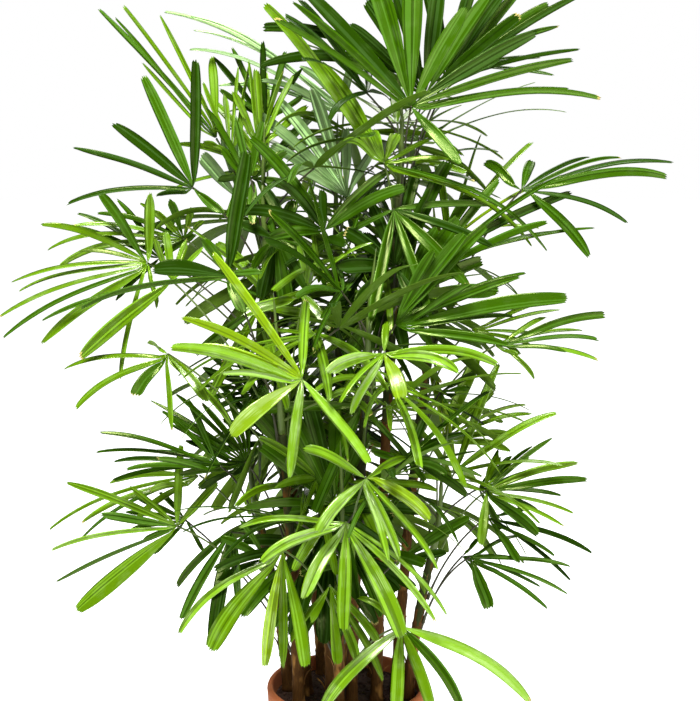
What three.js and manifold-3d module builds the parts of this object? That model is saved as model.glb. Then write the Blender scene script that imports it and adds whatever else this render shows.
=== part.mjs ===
// Potted lady palm (Rhapis excelsa): a clump of slim canes in a clay pot, with fan leaves on thin stalks.
// Millimetres, +Z up, origin at the centre of the pot's underside. The palm's open side is -Y.
//
// Every leaf is a fan of blades that spread from a hub at the end of its stalk. A blade is a bent strip of
// straight lengths with a keel under its middle. The leaves that shape the outline are placed one by one, and
// each cane's crown grows the rest by a seeded rule. What would touch something bends aside or is left out.

import * as THREE from "three";
import Module from "manifold-3d";

const wasm = await Module();
wasm.setup();

// ---------------------------------------------------------------- driving dimensions

const POT = { height: 280, rim: 160, band: 54, neck: 150, foot: 108, wall: 11, floor: 16, sides: 32 };
const SOIL = { level: 252 };
const CANE = { foot: 11.5, tip: 7.5, flare: 1.25, sides: 6, steps: 6 };
const SHAFT = { foot: 7.5, tip: 3, length: 150, sides: 5, steps: 2 };
const STALK = { radius: 2.3, sides: 3, steps: 3 };
const BLADE = { steps: 12, keel: 3, root: [15, 32], rootWidth: 6 };
const HUB = { above: 2, below: 5.5 };
const GAP = 0.3; // between pieces that touch
const CLEAR = 1; // between pieces that only pass each other
const GOLDEN_ANGLE = 137.5; // degrees from each leaf of a crown to the next

// Canes: where each foot stands on the soil (heading in degrees, distance from the middle), where the tip is,
// the heading of the first leaf of the crown, and how many leaves the crown has.
const CANES = {
  tall: { heading: -20, out: 62, tip: [98, -5, 1250], first: 200, leaves: 4 },
  left: { heading: 172, out: 82, tip: [-150, 20, 1120], first: 90, leaves: 4 },
  rear: { heading: 95, out: 70, tip: [-20, 120, 1130], first: 250, leaves: 5 },
  right: { heading: 10, out: 100, tip: [165, 45, 980], first: 40, leaves: 5 },
  middle: { heading: -75, out: 35, tip: [35, -105, 900], first: 200, leaves: 5 },
  near: { heading: 205, out: 105, tip: [-120, -110, 820], first: 100, leaves: 5 },
  back: { heading: 60, out: 110, tip: [90, 200, 860], first: 60, leaves: 5 },
  inner: { heading: 240, out: 60, tip: [-50, -40, 700], first: 300, leaves: 5 },
  leftLow: { heading: 165, out: 122, tip: [-175, 50, 600], first: 120, leaves: 4 },
  rightLow: { heading: -5, out: 122, tip: [165, -40, 560], first: 20, leaves: 4 },
  front: { heading: -100, out: 95, tip: [-10, -170, 560], first: 280, leaves: 4 },
  backLow: { heading: 115, out: 122, tip: [-90, 190, 560], first: 130, leaves: 4 },
};

// The placed leaves are laid out on a sheet: a front view of the plant, 700 steps wide and high, as seen from
// the eye, which looks down by the pitch. A step is one part in "far" of the distance from the eye.
const SHEET = { eye: [6, -2800, 1500], pitch: 11, far: 1488, middle: [350, 350.5] };

// The leaves that give the plant its outline and its near side. Each has its hub, as a place on the sheet
// and how far back it stands, the way its upper side faces, how far its blades bend down, and its blades.
// Each blade has its tip's place on the sheet, how far the tip comes out in front of the hub, its width, and
// its own bend where that differs.
const LEAVES = {
  top: { cane: "tall", hub: [411, 107, -60], face: [0.1, -1, 0.35], droop: 12, tips: [
    [600, 99, -20, 14, 30], [574, 86, -40, 12], [572, 60, -30, 17], [536, 34, -30, 26], [465, 8, -20, 29],
    [413, -32, -60, 46], [371, -30, -50, 44], [303, -10, -30, 26], [293, 3, 10, 16], [275, 18, 20, 14],
    [460, 164, 60, 22]] },
  topRear: { cane: "tall", hub: [445, 80, 80], face: [-0.2, -0.8, 0.5], droop: 16, tips: [
    [578, 50, -20, 12], [583, -6, 0, 16], [556, 10, -30, 14], [511, -20, -30, 28], [476, -25, -40, 24],
    [428, -20, -40, 30], [264, 28, 20, 20, 30], [262, 66, 40, 22, 40]] },
  topLeft: { cane: "tall", hub: [384, 163, -40], face: [0.1, -0.9, 0.3], droop: 22, tips: [
    [547, 251, 30, 11, 55], [531, 246, 0, 11, 55], [448, 160, 10, 12, 30], [430, 141, -10, 12],
    [397, 133, -10, 24], [373, 130, -40, 20], [322, 64, -20, 27], [266, 7, -30, 21],
    [343, 143, 60, 15, 70]] },
  topPale: { cane: "rear", hub: [420, 141, 220], face: [0, 0.7, 0.7], droop: 18, tips: [
    [565, 112, 0, 12, 35], [534, 83, -20, 16], [440, 107, -40, 26], [404, 107, -30, 26],
    [372, 102, 0, 16], [334, 108, 20, 20], [348, 130, 20, 22]] },
  topArc: { cane: "rear", hub: [344, 112, 110], face: [0.3, -0.6, 0.7], droop: 34, tips: [
    [165, 12, 0, 10], [200, 15, -20, 10], [185, 32, 20, 10], [190, 50, 40, 10], [225, 65, 50, 12],
    [262, 80, 50, 14], [300, 66, -20, 16], [352, 64, -30, 18, 16]] },
  rightReach: { cane: "right", hub: [521, 190, 0], face: [0, -0.4, 1], droop: 30, tips: [
    [589, 256, 60, 21], [626, 223, 40, 12, 40], [666, 178, 20, 18, 35], [672, 162, -20, 12],
    [620, 158, -60, 11], [589, 158, -90, 11], [532, 161, -80, 20], [484, 163, -60, 20, 50]] },
  rightInner: { cane: "right", hub: [432, 264, -40], face: [-0.3, -0.8, 0.6], droop: 14, tips: [
    [559, 231, 20, 10], [550, 228, 40, 16], [594, 208, 20, 10], [573, 190, 20, 12], [566, 174, 0, 18],
    [499, 180, -40, 18], [474, 196, -20, 24]] },
  centre: { cane: "tall", hub: [396, 266, -60], face: [0, -0.9, 0.4], droop: 16, tips: [
    [448, 162, -40, 26], [427, 187, -20, 15], [405, 164, -60, 22], [372, 204, -30, 24],
    [345, 232, -10, 27], [338, 268, 20, 30], [355, 306, 50, 27], [424, 322, 60, 22]] },
  rightMid: { cane: "middle", hub: [395, 325, -160], face: [-0.3, -0.8, 0.6], droop: 14, tips: [
    [508, 345, 60, 18], [512, 316, 20, 12], [567, 298, 40, 28], [520, 278, 20, 18], [523, 265, 0, 12],
    [470, 284, 60, 16], [486, 226, -30, 24], [469, 238, -20, 26], [442, 254, -20, 22]] },
  rightFlat: { cane: "right", hub: [494, 345, 0], face: [0, -0.3, 1], droop: 24, tips: [
    [517, 355, 70, 14], [534, 379, 60, 12, 45], [566, 352, 40, 12], [599, 350, 30, 11],
    [597, 339, 10, 12], [604, 314, -10, 17], [581, 322, -30, 10], [546, 317, -40, 13]] },
  rightBack: { cane: "right", hub: [440, 440, 60], face: [-0.2, -0.9, 0.4], droop: 20, tips: [
    [510, 451, 40, 17, 40], [513, 434, 20, 16, 35], [531, 414, 10, 12, 35], [526, 402, -10, 11, 30],
    [494, 391, -20, 22], [479, 357, -40, 27]] },
  leftHigh: { cane: "left", hub: [193, 188, -40], face: [-0.2, -0.9, 0.3], droop: 10, tips: [
    [222, 214, 30, 18], [197, 61, -30, 21], [143, 77, -20, 22], [114, 124, -10, 21],
    [74, 148, 10, 14, 16], [68, 204, 20, 12, 30], [155, 196, 20, 12, 30]] },
  leftPeak: { cane: "left", hub: [217, 139, 60], face: [0.3, -0.8, 0.4], droop: 8, tips: [
    [215, 56, -20, 19], [160, 16, -20, 12], [124, 7, -20, 11], [100, 10, -10, 13], [111, 24, 10, 10],
    [146, 61, 20, 10]] },
  leftReach: { cane: "left", hub: [148, 263, 0], face: [-0.2, -0.8, 0.6], droop: 26, tips: [
    [150, 193, -20, 21, 10], [101, 193, -20, 21, 14], [42, 226, 10, 15, 35], [80, 251, -10, 12],
    [12, 282, 20, 11], [20, 291, 0, 10], [0, 317, 30, 12], [3, 337, 40, 12], [43, 344, 50, 18],
    [120, 378, 50, 12, 55], [157, 307, 40, 12]] },
  leftSmall: { cane: "left", hub: [184, 239, 60], face: [0, -1, 0.4], droop: 30, tips: [
    [203, 221, 0, 14], [192, 208, -10, 16, 8], [170, 199, -20, 18, 8], [154, 212, -10, 18, 8],
    [140, 204, 0, 12], [98, 213, 0, 13], [73, 226, 20, 11], [48, 250, 20, 11, 45],
    [58, 264, 30, 15, 45]] },
  leftUnder: { cane: "near", hub: [172, 281, -40], face: [-0.2, -0.9, 0.4], droop: 12, tips: [
    [203, 247, -20, 12], [190, 241, -30, 16], [166, 232, -30, 17], [156, 238, -20, 15],
    [43, 321, 20, 12, 24], [80, 357, 40, 27]] },
  nearLeft: { cane: "near", hub: [228, 275, -140], face: [-0.1, -0.9, 0.5], droop: 14, tips: [
    [243, 312, 30, 22], [262, 273, 10, 14], [247, 152, -20, 28], [203, 239, 0, 19],
    [153, 269, 20, 32, 20], [82, 306, 40, 12, 30]] },
  rearPale: { cane: "rear", hub: [348, 198, 50], face: [0.2, -0.6, 0.8], droop: 16, tips: [
    [374, 150, -20, 18], [347, 128, -30, 20], [304, 92, -20, 27], [280, 102, -10, 24], [256, 113, 0, 22],
    [274, 141, 10, 20], [288, 172, 20, 20]] },
  rearLeft: { cane: "rear", hub: [325, 230, -50], face: [0, -0.6, 0.9], droop: 24, tips: [
    [345, 246, 40, 20], [402, 184, -20, 22], [388, 172, -40, 18], [321, 190, -20, 18],
    [250, 138, -10, 24], [266, 183, 10, 18, 40], [240, 212, 20, 24, 40], [268, 238, 40, 24, 30]] },
  nearFront: { cane: "near", hub: [302, 379, -330], face: [0.1, -0.8, 0.6], droop: 22, tips: [
    [368, 463, 70, 18], [290, 478, 80, 19], [232, 436, 60, 31, 36], [220, 377, 40, 14],
    [170, 354, 10, 20, 26], [201, 348, -20, 20], [182, 317, -20, 17], [213, 253, -60, 17, 8],
    [306, 300, -60, 18, 8]] },
  leftMid: { cane: "near", hub: [168, 354, -60], face: [0, -0.4, 1], droop: 36, tips: [
    [148, 342, -30, 10], [65, 369, 0, 12], [76, 408, 20, 15, 45], [134, 395, 40, 24, 40],
    [172, 430, 40, 13], [209, 402, 50, 22, 40], [232, 423, 20, 15]] },
  leftLow: { cane: "leftLow", hub: [177, 526, -40], face: [-0.1, -0.95, 0.15], droop: 8, tips: [
    [218, 483, -10, 17], [181, 445, -20, 17], [130, 487, -20, 14], [67, 482, 0, 17], [102, 516, 10, 18],
    [52, 550, 10, 12, 24], [57, 581, 20, 11], [78, 611, 40, 35]] },
  leftTuft: { cane: "leftLow", hub: [222, 466, -60], face: [-0.1, -0.3, 1], droop: 22, tips: [
    [113, 471, 30, 12], [127, 469, 40, 13], [114, 462, 10, 12], [158, 459, 60, 15], [97, 452, -20, 10],
    [101, 432, 0, 12], [145, 452, -40, 10], [162, 411, -30, 13], [188, 400, -60, 15]] },
  lowTuft: { cane: "leftLow", hub: [200, 475, 40], face: [-0.1, -0.5, 1], droop: 34, tips: [
    [150, 490, 40, 17], [128, 513, 30, 16], [87, 531, 20, 14], [73, 531, 0, 10], [50, 529, -20, 10],
    [110, 484, -30, 15]] },
  frontLeft: { cane: "front", hub: [283, 550, -260], face: [-0.1, -0.6, 1], droop: 46, tips: [
    [181, 633, 40, 16, 70], [211, 650, 60, 39], [265, 666, 90, 22], [283, 667, 50, 18],
    [306, 666, 90, 27]] },
  frontLow: { cane: "front", hub: [330, 585, -230], face: [0, -0.6, 0.8], droop: 34, tips: [
    [290, 642, 40, 16], [312, 622, 60, 18], [338, 664, 50, 23], [357, 662, 70, 20], [378, 642, 50, 18],
    [383, 680, 40, 16]] },
  frontRight: { cane: "front", hub: [366, 478, -320], face: [0.1, -0.7, 0.8], droop: 34, tips: [
    [304, 448, -10, 18], [318, 531, 60, 21], [389, 560, 80, 15], [405, 555, 60, 17], [434, 572, 50, 14],
    [402, 512, 20, 17], [430, 519, 30, 22], [405, 458, -40, 16]] },
  rightTuft: { cane: "rightLow", hub: [487, 490, -60], face: [0.1, -0.7, 0.7], droop: 16, tips: [
    [481, 545, 60, 20], [538, 535, 50, 23, 30], [564, 525, 30, 11], [573, 512, 20, 10],
    [587, 480, 10, 17], [578, 463, -10, 16, 26], [552, 438, -40, 13], [529, 457, -50, 12],
    [498, 455, -50, 18], [408, 476, 0, 14, 24]] },
  rightLow: { cane: "rightLow", hub: [487, 517, -20], face: [0.1, -0.6, 0.8], droop: 24, tips: [
    [519, 563, 50, 18], [554, 555, 30, 11], [570, 580, 10, 11], [592, 552, -10, 13],
    [531, 509, -40, 12]] },
  rightUnder: { cane: "rightLow", hub: [469, 557, -60], face: [0.2, -0.7, 0.8], droop: 26, tips: [
    [488, 608, 50, 25], [547, 608, 40, 12], [567, 594, 20, 11], [571, 560, 0, 12, 40],
    [520, 531, -30, 10, 40]] },
  potFront: { cane: "front", hub: [402, 626, -330], face: [0.1, -0.7, 0.9], droop: 50, tips: [
    [322, 712, 60, 24], [396, 718, 80, 23], [432, 714, 70, 20], [464, 712, 50, 18], [530, 702, 20, 21],
    [358, 597, -30, 14]] },
  nearTop: { cane: "middle", hub: [384, 353, -330], face: [0, -0.6, 1], droop: 46, tips: [
    [329, 373, 40, 24], [340, 402, 60, 12], [351, 412, 50, 17], [401, 398, 60, 26, 70],
    [458, 373, 50, 20, 60], [498, 357, 30, 17, 40], [386, 322, -40, 15, 10]] },
  lowCentre: { cane: "front", hub: [346, 522, -320], face: [-0.1, -0.7, 0.9], droop: 42, tips: [
    [240, 528, 0, 13], [261, 562, 40, 21], [303, 598, 80, 25], [344, 630, 90, 24], [402, 637, 90, 31],
    [434, 621, 50, 14], [447, 614, 20, 11]] },
  rightNear: { cane: "middle", hub: [408, 458, -170], face: [0, -0.7, 0.7], droop: 20, tips: [
    [370, 452, 30, 16], [446, 474, 50, 18, 50], [467, 496, 20, 18], [482, 476, -10, 12],
    [425, 417, -30, 18]] },
};

// A crown's leaves, from the youngest to the oldest: the stalk's length and how steeply it climbs, the tilt
// of the middle blade, the angle that the blades spread over, their number, length and droop. All have one
// width. They stand round the back and the sides, as the placed leaves fill the front.
const CROWN = { stalk: [120, 260], climb: [66, 24], tilt: [62, -30], spread: [150, 240], blades: [6, 8.6],
  length: [215, 250], droop: [18, 50], width: 27, middle: 90, round: 0.65 };

// How far the tips of a crown's leaves may stand from the middle of the pot, at rising heights, and the share
// of it that they may stand to the side.
const OUTLINE_SIDE = 0.75;
const OUTLINE = [[450, 260], [560, 370], [700, 420], [1000, 440], [1250, 440], [1400, 380], [1550, 260],
  [1700, 100]];

// ---------------------------------------------------------------- small tools

const vec = (x, y, z) => new THREE.Vector3(x, y, z);
const rad = THREE.MathUtils.degToRad;
const { lerp } = THREE.MathUtils;
const UP = vec(0, 0, 1);

// A repeatable row of numbers from 0 to 1.
function dice(seed) {
  let state = seed >>> 0;
  return () => {
    state = (Math.imul(state, 1664525) + 1013904223) >>> 0;
    return state / 4294967296;
  };
}

const wobble = (roll, share) => 1 + share * (2 * roll() - 1);
const headingOf = (degrees) => vec(Math.cos(rad(degrees)), Math.sin(rad(degrees)), 0);
const sharesOf = (steps) => Array.from({ length: steps + 1 }, (_, k) => k / steps);

// A closed solid from corner points and triangles of their numbers.
function solid(points, faces) {
  return new wasm.Manifold(
    new wasm.Mesh({
      numProp: 3,
      vertProperties: new Float32Array(points.flatMap((p) => [p.x, p.y, p.z])),
      triVerts: new Uint32Array(faces.flat()),
    }),
  );
}

// Equal rings of points, joined side to side, with a flat fan over the first and the last.
function skin(rings) {
  const sides = rings[0].length;
  const faces = [];
  for (let k = 0; k + 1 < rings.length; k++)
    for (let i = 0; i < sides; i++) {
      const j = (i + 1) % sides;
      const [a, b, c, d] = [k * sides + i, k * sides + j, (k + 1) * sides + i, (k + 1) * sides + j];
      faces.push([a, b, d], [a, d, c]);
    }
  const last = (rings.length - 1) * sides;
  for (let i = 1; i + 1 < sides; i++) faces.push([0, i + 1, i], [last, last + i, last + i + 1]);
  return solid(rings.flat(), faces);
}

// A round limb along a path. Its rings stand square to the path, and its ends to the ways given for them.
function limb(path, radii, sides, footWay = null, tipWay = null) {
  const last = path.length - 1;
  let side = Math.abs(path[1].clone().sub(path[0]).normalize().x) > 0.8 ? vec(0, 1, 0) : vec(1, 0, 0);
  return skin(
    path.map((p, k) => {
      const given = (k === 0 && footWay) || (k === last && tipWay);
      const chord = path[Math.min(k + 1, last)].clone().sub(path[Math.max(k - 1, 0)]);
      const along = (given || chord).clone().normalize();
      side = side.clone().addScaledVector(along, -side.dot(along)).normalize();
      const other = along.clone().cross(side);
      return sharesOf(sides).slice(1).map((turn) => {
        const a = 2 * Math.PI * turn;
        const out = side.clone().multiplyScalar(Math.cos(a)).addScaledVector(other, Math.sin(a));
        return p.clone().addScaledVector(out, radii[k]);
      });
    }),
  );
}

const tube = (path, radius, sides) => limb(path, path.map(() => radius), sides);

// A turned solid. The profile starts and ends on the axis, and its seam and poles are merged.
function turned(profile, sides) {
  const geometry = new THREE.LatheGeometry(profile, sides);
  geometry.rotateX(Math.PI / 2);
  const place = geometry.getAttribute("position");
  const numbers = new Map();
  const points = [];
  const numberAt = Array.from({ length: place.count }, (_, i) => {
    const p = vec(place.getX(i), place.getY(i), place.getZ(i));
    const key = [p.x, p.y, p.z].map((v) => Math.round(v * 100)).join();
    if (!numbers.has(key)) numbers.set(key, points.push(p) - 1);
    return numbers.get(key);
  });
  const faces = [];
  for (let i = 0; i < geometry.index.count; i += 3) {
    const [a, b, c] = [0, 1, 2].map((k) => numberAt[geometry.index.getX(i + k)]);
    if (a !== b && b !== c && c !== a) faces.push([a, b, c]);
  }
  return solid(points, faces);
}

// ---------------------------------------------------------------- room between the solids

// Everything that stands so far, each with the node that owns it.
const standing = [];

function boxOf(made) {
  const { min, max } = made.boundingBox();
  return new THREE.Box3(vec(...min), vec(...max));
}

function stand(made, owner) {
  standing.push({ made, box: boxOf(made), owner });
}

// Whether a shape touches nothing that stands, apart from what one node owns.
function isFree(made, ignored = null) {
  const box = boxOf(made);
  return !standing.some((other) => {
    if (other.owner === ignored || !other.box.intersectsBox(box)) return false;
    return made.intersect(other.made).volume() > 1e-6;
  });
}

// ---------------------------------------------------------------- pot and soil

const point = (x, y) => new THREE.Vector2(x, y);
const shoulder = POT.height - POT.band;
const ledge = shoulder - 10;

// The radius of the pot's inner wall: it follows the body up to the ledge, and then widens to the mouth.
const bodyInside = (z) => lerp(POT.foot, POT.neck, z / shoulder) - POT.wall;
const bandInside = (z) => lerp(bodyInside(ledge), POT.rim - POT.wall, (z - ledge) / (POT.height - ledge));

const potSolid = turned(
  [
    point(0, 0),
    point(POT.foot, 0),
    point(POT.neck, shoulder),
    point(POT.rim - 3, shoulder + 2),
    point(POT.rim, POT.height - 6),
    point(POT.rim - 4, POT.height),
    point(bandInside(POT.height), POT.height),
    point(bodyInside(ledge), ledge),
    point(bodyInside(POT.floor), POT.floor),
    point(0, POT.floor),
  ],
  POT.sides,
);

const soilSolid = turned(
  [
    point(0, POT.floor + GAP),
    point(bodyInside(POT.floor) - GAP, POT.floor + GAP),
    point(bodyInside(ledge) - GAP, ledge),
    point(bandInside(SOIL.level) - GAP, SOIL.level),
    point(0, SOIL.level),
  ],
  POT.sides,
);

// ---------------------------------------------------------------- canes

// A cane leaves the soil almost upright and leans out as it climbs. Its shaft carries on into the crown.
function growCane(spec) {
  const foot = headingOf(spec.heading).multiplyScalar(spec.out).setZ(SOIL.level + GAP);
  const tip = vec(...spec.tip);
  const knee = foot.clone().lerp(tip, 0.25).setZ(lerp(foot.z, tip.z, 0.5));
  const line = new THREE.QuadraticBezierCurve3(foot, knee, tip);
  const lean = tip.clone().sub(knee).normalize();
  const shaftFoot = tip.clone().addScaledVector(lean, GAP);
  const shaftKnee = shaftFoot.clone().addScaledVector(lean, SHAFT.length / 2);
  const shaftTip = shaftKnee.clone().addScaledVector(UP, SHAFT.length / 2);
  const shaft = new THREE.QuadraticBezierCurve3(shaftFoot, shaftKnee, shaftTip);
  return { ...spec, line, foot, tip, lean, shaft };
}

const caneRadius = (share) => lerp(CANE.foot, CANE.tip, share);

function caneSolid({ line, lean }) {
  const shares = sharesOf(CANE.steps);
  const radii = shares.map((t) => caneRadius(t) * (t === 0 ? CANE.flare : 1));
  return limb(shares.map((t) => line.getPoint(t)), radii, CANE.sides, UP, lean);
}

function shaftSolid({ shaft, lean }) {
  const shares = sharesOf(SHAFT.steps);
  const radii = shares.map((t) => lerp(SHAFT.foot, SHAFT.tip, t));
  return limb(shares.map((t) => shaft.getPoint(t)), radii, SHAFT.sides, lean);
}

// ---------------------------------------------------------------- leaves

// A way in the plane of a fan, by its turn from the middle one.
const wayAt = ({ middle, side }, turn) =>
  middle.clone().multiplyScalar(Math.cos(turn)).addScaledVector(side, Math.sin(turn));

const turnOf = ({ middle, side }, way) => Math.atan2(way.dot(side), way.dot(middle));

// The middle line of a blade: it sets out from the hub and bends down under its own weight.
function bladeLine(leaf, turn, aside, length, lift, droop) {
  const along = wayAt(leaf, turn + aside).addScaledVector(leaf.face, Math.tan(lift)).normalize();
  const across = wayAt(leaf, turn + aside + Math.PI / 2);
  const at = leaf.hub.clone().addScaledVector(wayAt(leaf, turn), leaf.root);
  const line = [];
  for (let k = 0; k <= BLADE.steps; k++) {
    across.addScaledVector(along, -across.dot(along)).normalize();
    line.push({ at: at.clone(), along: along.clone(), across: across.clone() });
    at.addScaledVector(along, length / BLADE.steps);
    along.addScaledVector(UP, (-2 * droop * (k + 1)) / BLADE.steps ** 2).normalize();
  }
  return line;
}

// Half the width of a blade at a share of its length: narrow at the hub, widest past the middle, blunt at
// the tip.
function halfWidth(width, share) {
  const swell = Math.sin(Math.PI * (0.02 + share * 0.77)) ** 0.8;
  return (BLADE.rootWidth / 2) * (1 - share) + (width / 2) * swell * Math.min(share * 5, 1);
}

function bladeStations(line, width, lengths) {
  return sharesOf(lengths).map((share) => ({
    ...line[Math.round(share * BLADE.steps)],
    half: halfWidth(width, share),
  }));
}

// A square sleeve of clear room around a blade, from a share of its first length to past its tip.
function sleeve(shape, keel, from) {
  return skin(
    shape.map((s, k) => {
      const face = s.along.clone().cross(s.across);
      const at = s.at.clone();
      if (k === 0) at.lerp(shape[1].at, from);
      if (k === shape.length - 1) at.addScaledVector(s.along, CLEAR);
      const half = (k === 0 ? lerp(s.half, shape[1].half, from) : s.half) + CLEAR;
      const deep = -keel - CLEAR;
      return [[half, CLEAR], [-half, CLEAR], [-half, deep], [half, deep]].map(([aside, above]) =>
        at.clone().addScaledVector(s.across, aside).addScaledVector(face, above),
      );
    }),
  );
}

// The small bends that a blade tries in turn where it would touch something: degrees aside, of lift and of
// droop.
const BENDS = [[0, 0, 0]];
for (const size of [1, 2, 3])
  for (const [aside, lift, droop] of [[0, 7, 0], [0, -7, 0], [2.5, 0, 0], [-2.5, 0, 0], [2, 6, 8], [-2, 6, 8],
    [2, -6, -8], [-2, -6, -8]])
    BENDS.push([aside * size, lift * size, droop * size]);

// What the blades of a crown's leaf are drawn with, from one edge of the fan to the other.
function seededBlades(leaf) {
  const roll = dice(leaf.seed);
  return Array.from({ length: leaf.blades }, (_, j) => {
    const t = (2 * j) / (leaf.blades - 1) - 1;
    const turn = rad((t * leaf.spread) / 2 + 2.4 * (roll() - 0.5));
    const length = leaf.length * (1 - leaf.shorter * t * t) * wobble(roll, 0.07);
    const width = leaf.width * (1 - 0.35 * Math.abs(t) ** 1.5) * wobble(roll, 0.16);
    const lift = rad(10 - 18 * t * t + 5 * (roll() - 0.5));
    const droop = rad(leaf.droop * (0.85 + 0.3 * Math.abs(t)) * wobble(roll, 0.2));
    return { turn, aside: 0, length, width, lift, droop };
  });
}

// What the blades of a placed leaf are drawn with. Their roots stand towards their tips, with room for each.
function aimedBlades(leaf) {
  const ways = leaf.tips.map((tip) => ({ ...tip, turn: turnOf(leaf, tip.at.clone().sub(leaf.hub)) }));
  ways.sort((a, b) => a.turn - b.turn);
  const room = (1.15 * BLADE.rootWidth) / leaf.root;
  for (let pass = 0; pass < 40; pass++)
    for (let j = 1; j < ways.length; j++) {
      const lack = Math.max(0, room - (ways[j].turn - ways[j - 1].turn)) / 2;
      ways[j - 1].turn -= lack;
      ways[j].turn += lack;
    }
  return ways.map(({ at, width, bend, turn }) => {
    const root = leaf.hub.clone().addScaledVector(wayAt(leaf, turn), leaf.root);
    const droop = rad(bend);
    const aim = at.clone();
    let numbers;
    for (let pass = 0; pass < 5; pass++) {
      const chord = aim.clone().sub(root);
      const length = chord.length();
      const start = chord.divideScalar(length).addScaledVector(UP, droop / 3);
      const lift = Math.atan(start.dot(leaf.face) / Math.hypot(start.dot(leaf.side), start.dot(leaf.middle)));
      numbers = { turn, aside: turnOf(leaf, start) - turn, length, width, lift, droop };
      aim.add(at).sub(bladeLine(leaf, turn, numbers.aside, length, lift, droop).at(-1).at);
    }
    return numbers;
  });
}

// The blades of one leaf, from one edge of the fan to the other. A blade with no free room is left out.
function growBlades(leaf, node) {
  const made = [];
  const numbers = leaf.tips ? aimedBlades(leaf) : seededBlades(leaf);
  for (const { turn, aside, length, width, lift, droop } of numbers)
    for (const [moreAside, moreLift, moreDroop] of BENDS) {
      const bend = [aside + rad(moreAside), length, lift + rad(moreLift), droop + rad(moreDroop)];
      const shape = bladeStations(bladeLine(leaf, turn, ...bend), width, leaf.lengths);
      const room = sleeve(shape, leaf.keel, 0);
      if (!isFree(sleeve(shape, leaf.keel, 0.5)) || !isFree(room, node)) continue;
      stand(room, node);
      made.push(shape);
      break;
    }
  return made;
}

// The fan as one closed sheet: the blades and the web between their roots, all round the hub.
function fanSolid(leaf, blades) {
  const points = [];
  const faces = [];
  const add = (p) => points.push(p) - 1;
  const top = add(leaf.hub.clone().addScaledVector(leaf.face, HUB.above));
  const under = add(leaf.hub.clone().addScaledVector(leaf.face, -HUB.below));
  let before = null;
  for (const shape of blades) {
    const rows = shape.map((s) => ({
      right: add(s.at.clone().addScaledVector(s.across, -s.half)),
      left: add(s.at.clone().addScaledVector(s.across, s.half)),
      keel: add(s.at.clone().addScaledVector(s.along.clone().cross(s.across), -leaf.keel)),
    }));
    const root = rows[0];
    faces.push([top, root.right, root.left], [under, root.left, root.keel], [under, root.keel, root.right]);
    for (let k = 0; k + 1 < rows.length; k++) {
      const [a, b] = [rows[k], rows[k + 1]];
      faces.push([a.right, b.right, b.left], [a.right, b.left, a.left]);
      faces.push([a.left, b.left, b.keel], [a.left, b.keel, a.keel]);
      faces.push([a.right, a.keel, b.keel], [a.right, b.keel, b.right]);
    }
    const end = rows.at(-1);
    faces.push([end.right, end.keel, end.left]);
    if (before) faces.push([top, before.left, root.right], [under, root.right, before.left]);
    else faces.push([root.right, top, under]);
    before = root;
  }
  faces.push([top, before.left, under]);
  return solid(points, faces);
}

// The flat room that the hub and the blades' roots take.
function hubRoom(leaf) {
  const ring = (above) =>
    sharesOf(8).slice(1).map((turn) =>
      leaf.hub.clone()
        .addScaledVector(leaf.middle, (leaf.root + 3) * Math.cos(2 * Math.PI * turn))
        .addScaledVector(leaf.side, (leaf.root + 3) * Math.sin(2 * Math.PI * turn))
        .addScaledVector(leaf.face, above),
    );
  return skin([ring(-HUB.below - CLEAR), ring(HUB.above + CLEAR)]);
}

// Fills in what follows from a leaf's own numbers.
function layOut(leaf) {
  const middle = leaf.middle.clone().normalize();
  const face = leaf.face.clone().addScaledVector(middle, -leaf.face.dot(middle)).normalize();
  const side = face.clone().cross(middle);
  const made = { lengths: leaf.droop > 30 ? 3 : 2, ...leaf, middle, face, side };
  if (leaf.tips) {
    const turns = leaf.tips.map((tip) => turnOf(made, tip.at.clone().sub(leaf.hub)));
    made.blades = leaf.tips.length;
    made.spread = THREE.MathUtils.radToDeg(Math.max(...turns) - Math.min(...turns));
    made.length = Math.max(...leaf.tips.map((tip) => tip.at.distanceTo(leaf.hub)));
  }
  made.root = THREE.MathUtils.clamp((1.3 * made.blades * BLADE.rootWidth) / rad(made.spread), ...BLADE.root);
  made.keel = Math.max(BLADE.keel, 0.0115 * made.length);
  return made;
}

// The point that shows at a place on the sheet and stands so far back.
function onSheet(x, y, back) {
  const [eye, pitch] = [vec(...SHEET.eye), rad(SHEET.pitch)];
  const [right, down] = [x - SHEET.middle[0], y - SHEET.middle[1]];
  const way = vec(
    right,
    SHEET.far * Math.cos(pitch) - down * Math.sin(pitch),
    -SHEET.far * Math.sin(pitch) - down * Math.cos(pitch),
  );
  return eye.clone().addScaledVector(way, (back - eye.y) / way.y);
}

// A placed leaf from its own numbers. Its middle points the way of all its tips together.
function placedLeaf(spec) {
  const hub = onSheet(...spec.hub);
  const tips = spec.tips.map(([x, y, out, width, bend = spec.droop]) =>
    ({ at: onSheet(x, y, spec.hub[2] - out), width, bend }));
  const middle = vec(0, 0, 0);
  for (const { at } of tips) middle.add(at.clone().sub(hub).normalize());
  return layOut({ ...spec, hub, tips, middle, face: vec(...spec.face) });
}

// Whether a point is inside the crown's outline.
function isWithin(p) {
  const above = OUTLINE.findIndex(([height]) => height > p.z);
  if (above < 1) return false;
  const [[z0, r0], [z1, r1]] = [OUTLINE[above - 1], OUTLINE[above]];
  return Math.hypot(p.x / OUTLINE_SIDE, p.y) < lerp(r0, r1, (p.z - z0) / (z1 - z0));
}

// The bent path of a stalk, or of what is left of it from a share of its length on.
function stalkPath(foot, bend, end, from = 0) {
  const line = new THREE.QuadraticBezierCurve3(foot, bend, end);
  return sharesOf(STALK.steps).map((t) => line.getPoint(lerp(from, 1, t)));
}

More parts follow.
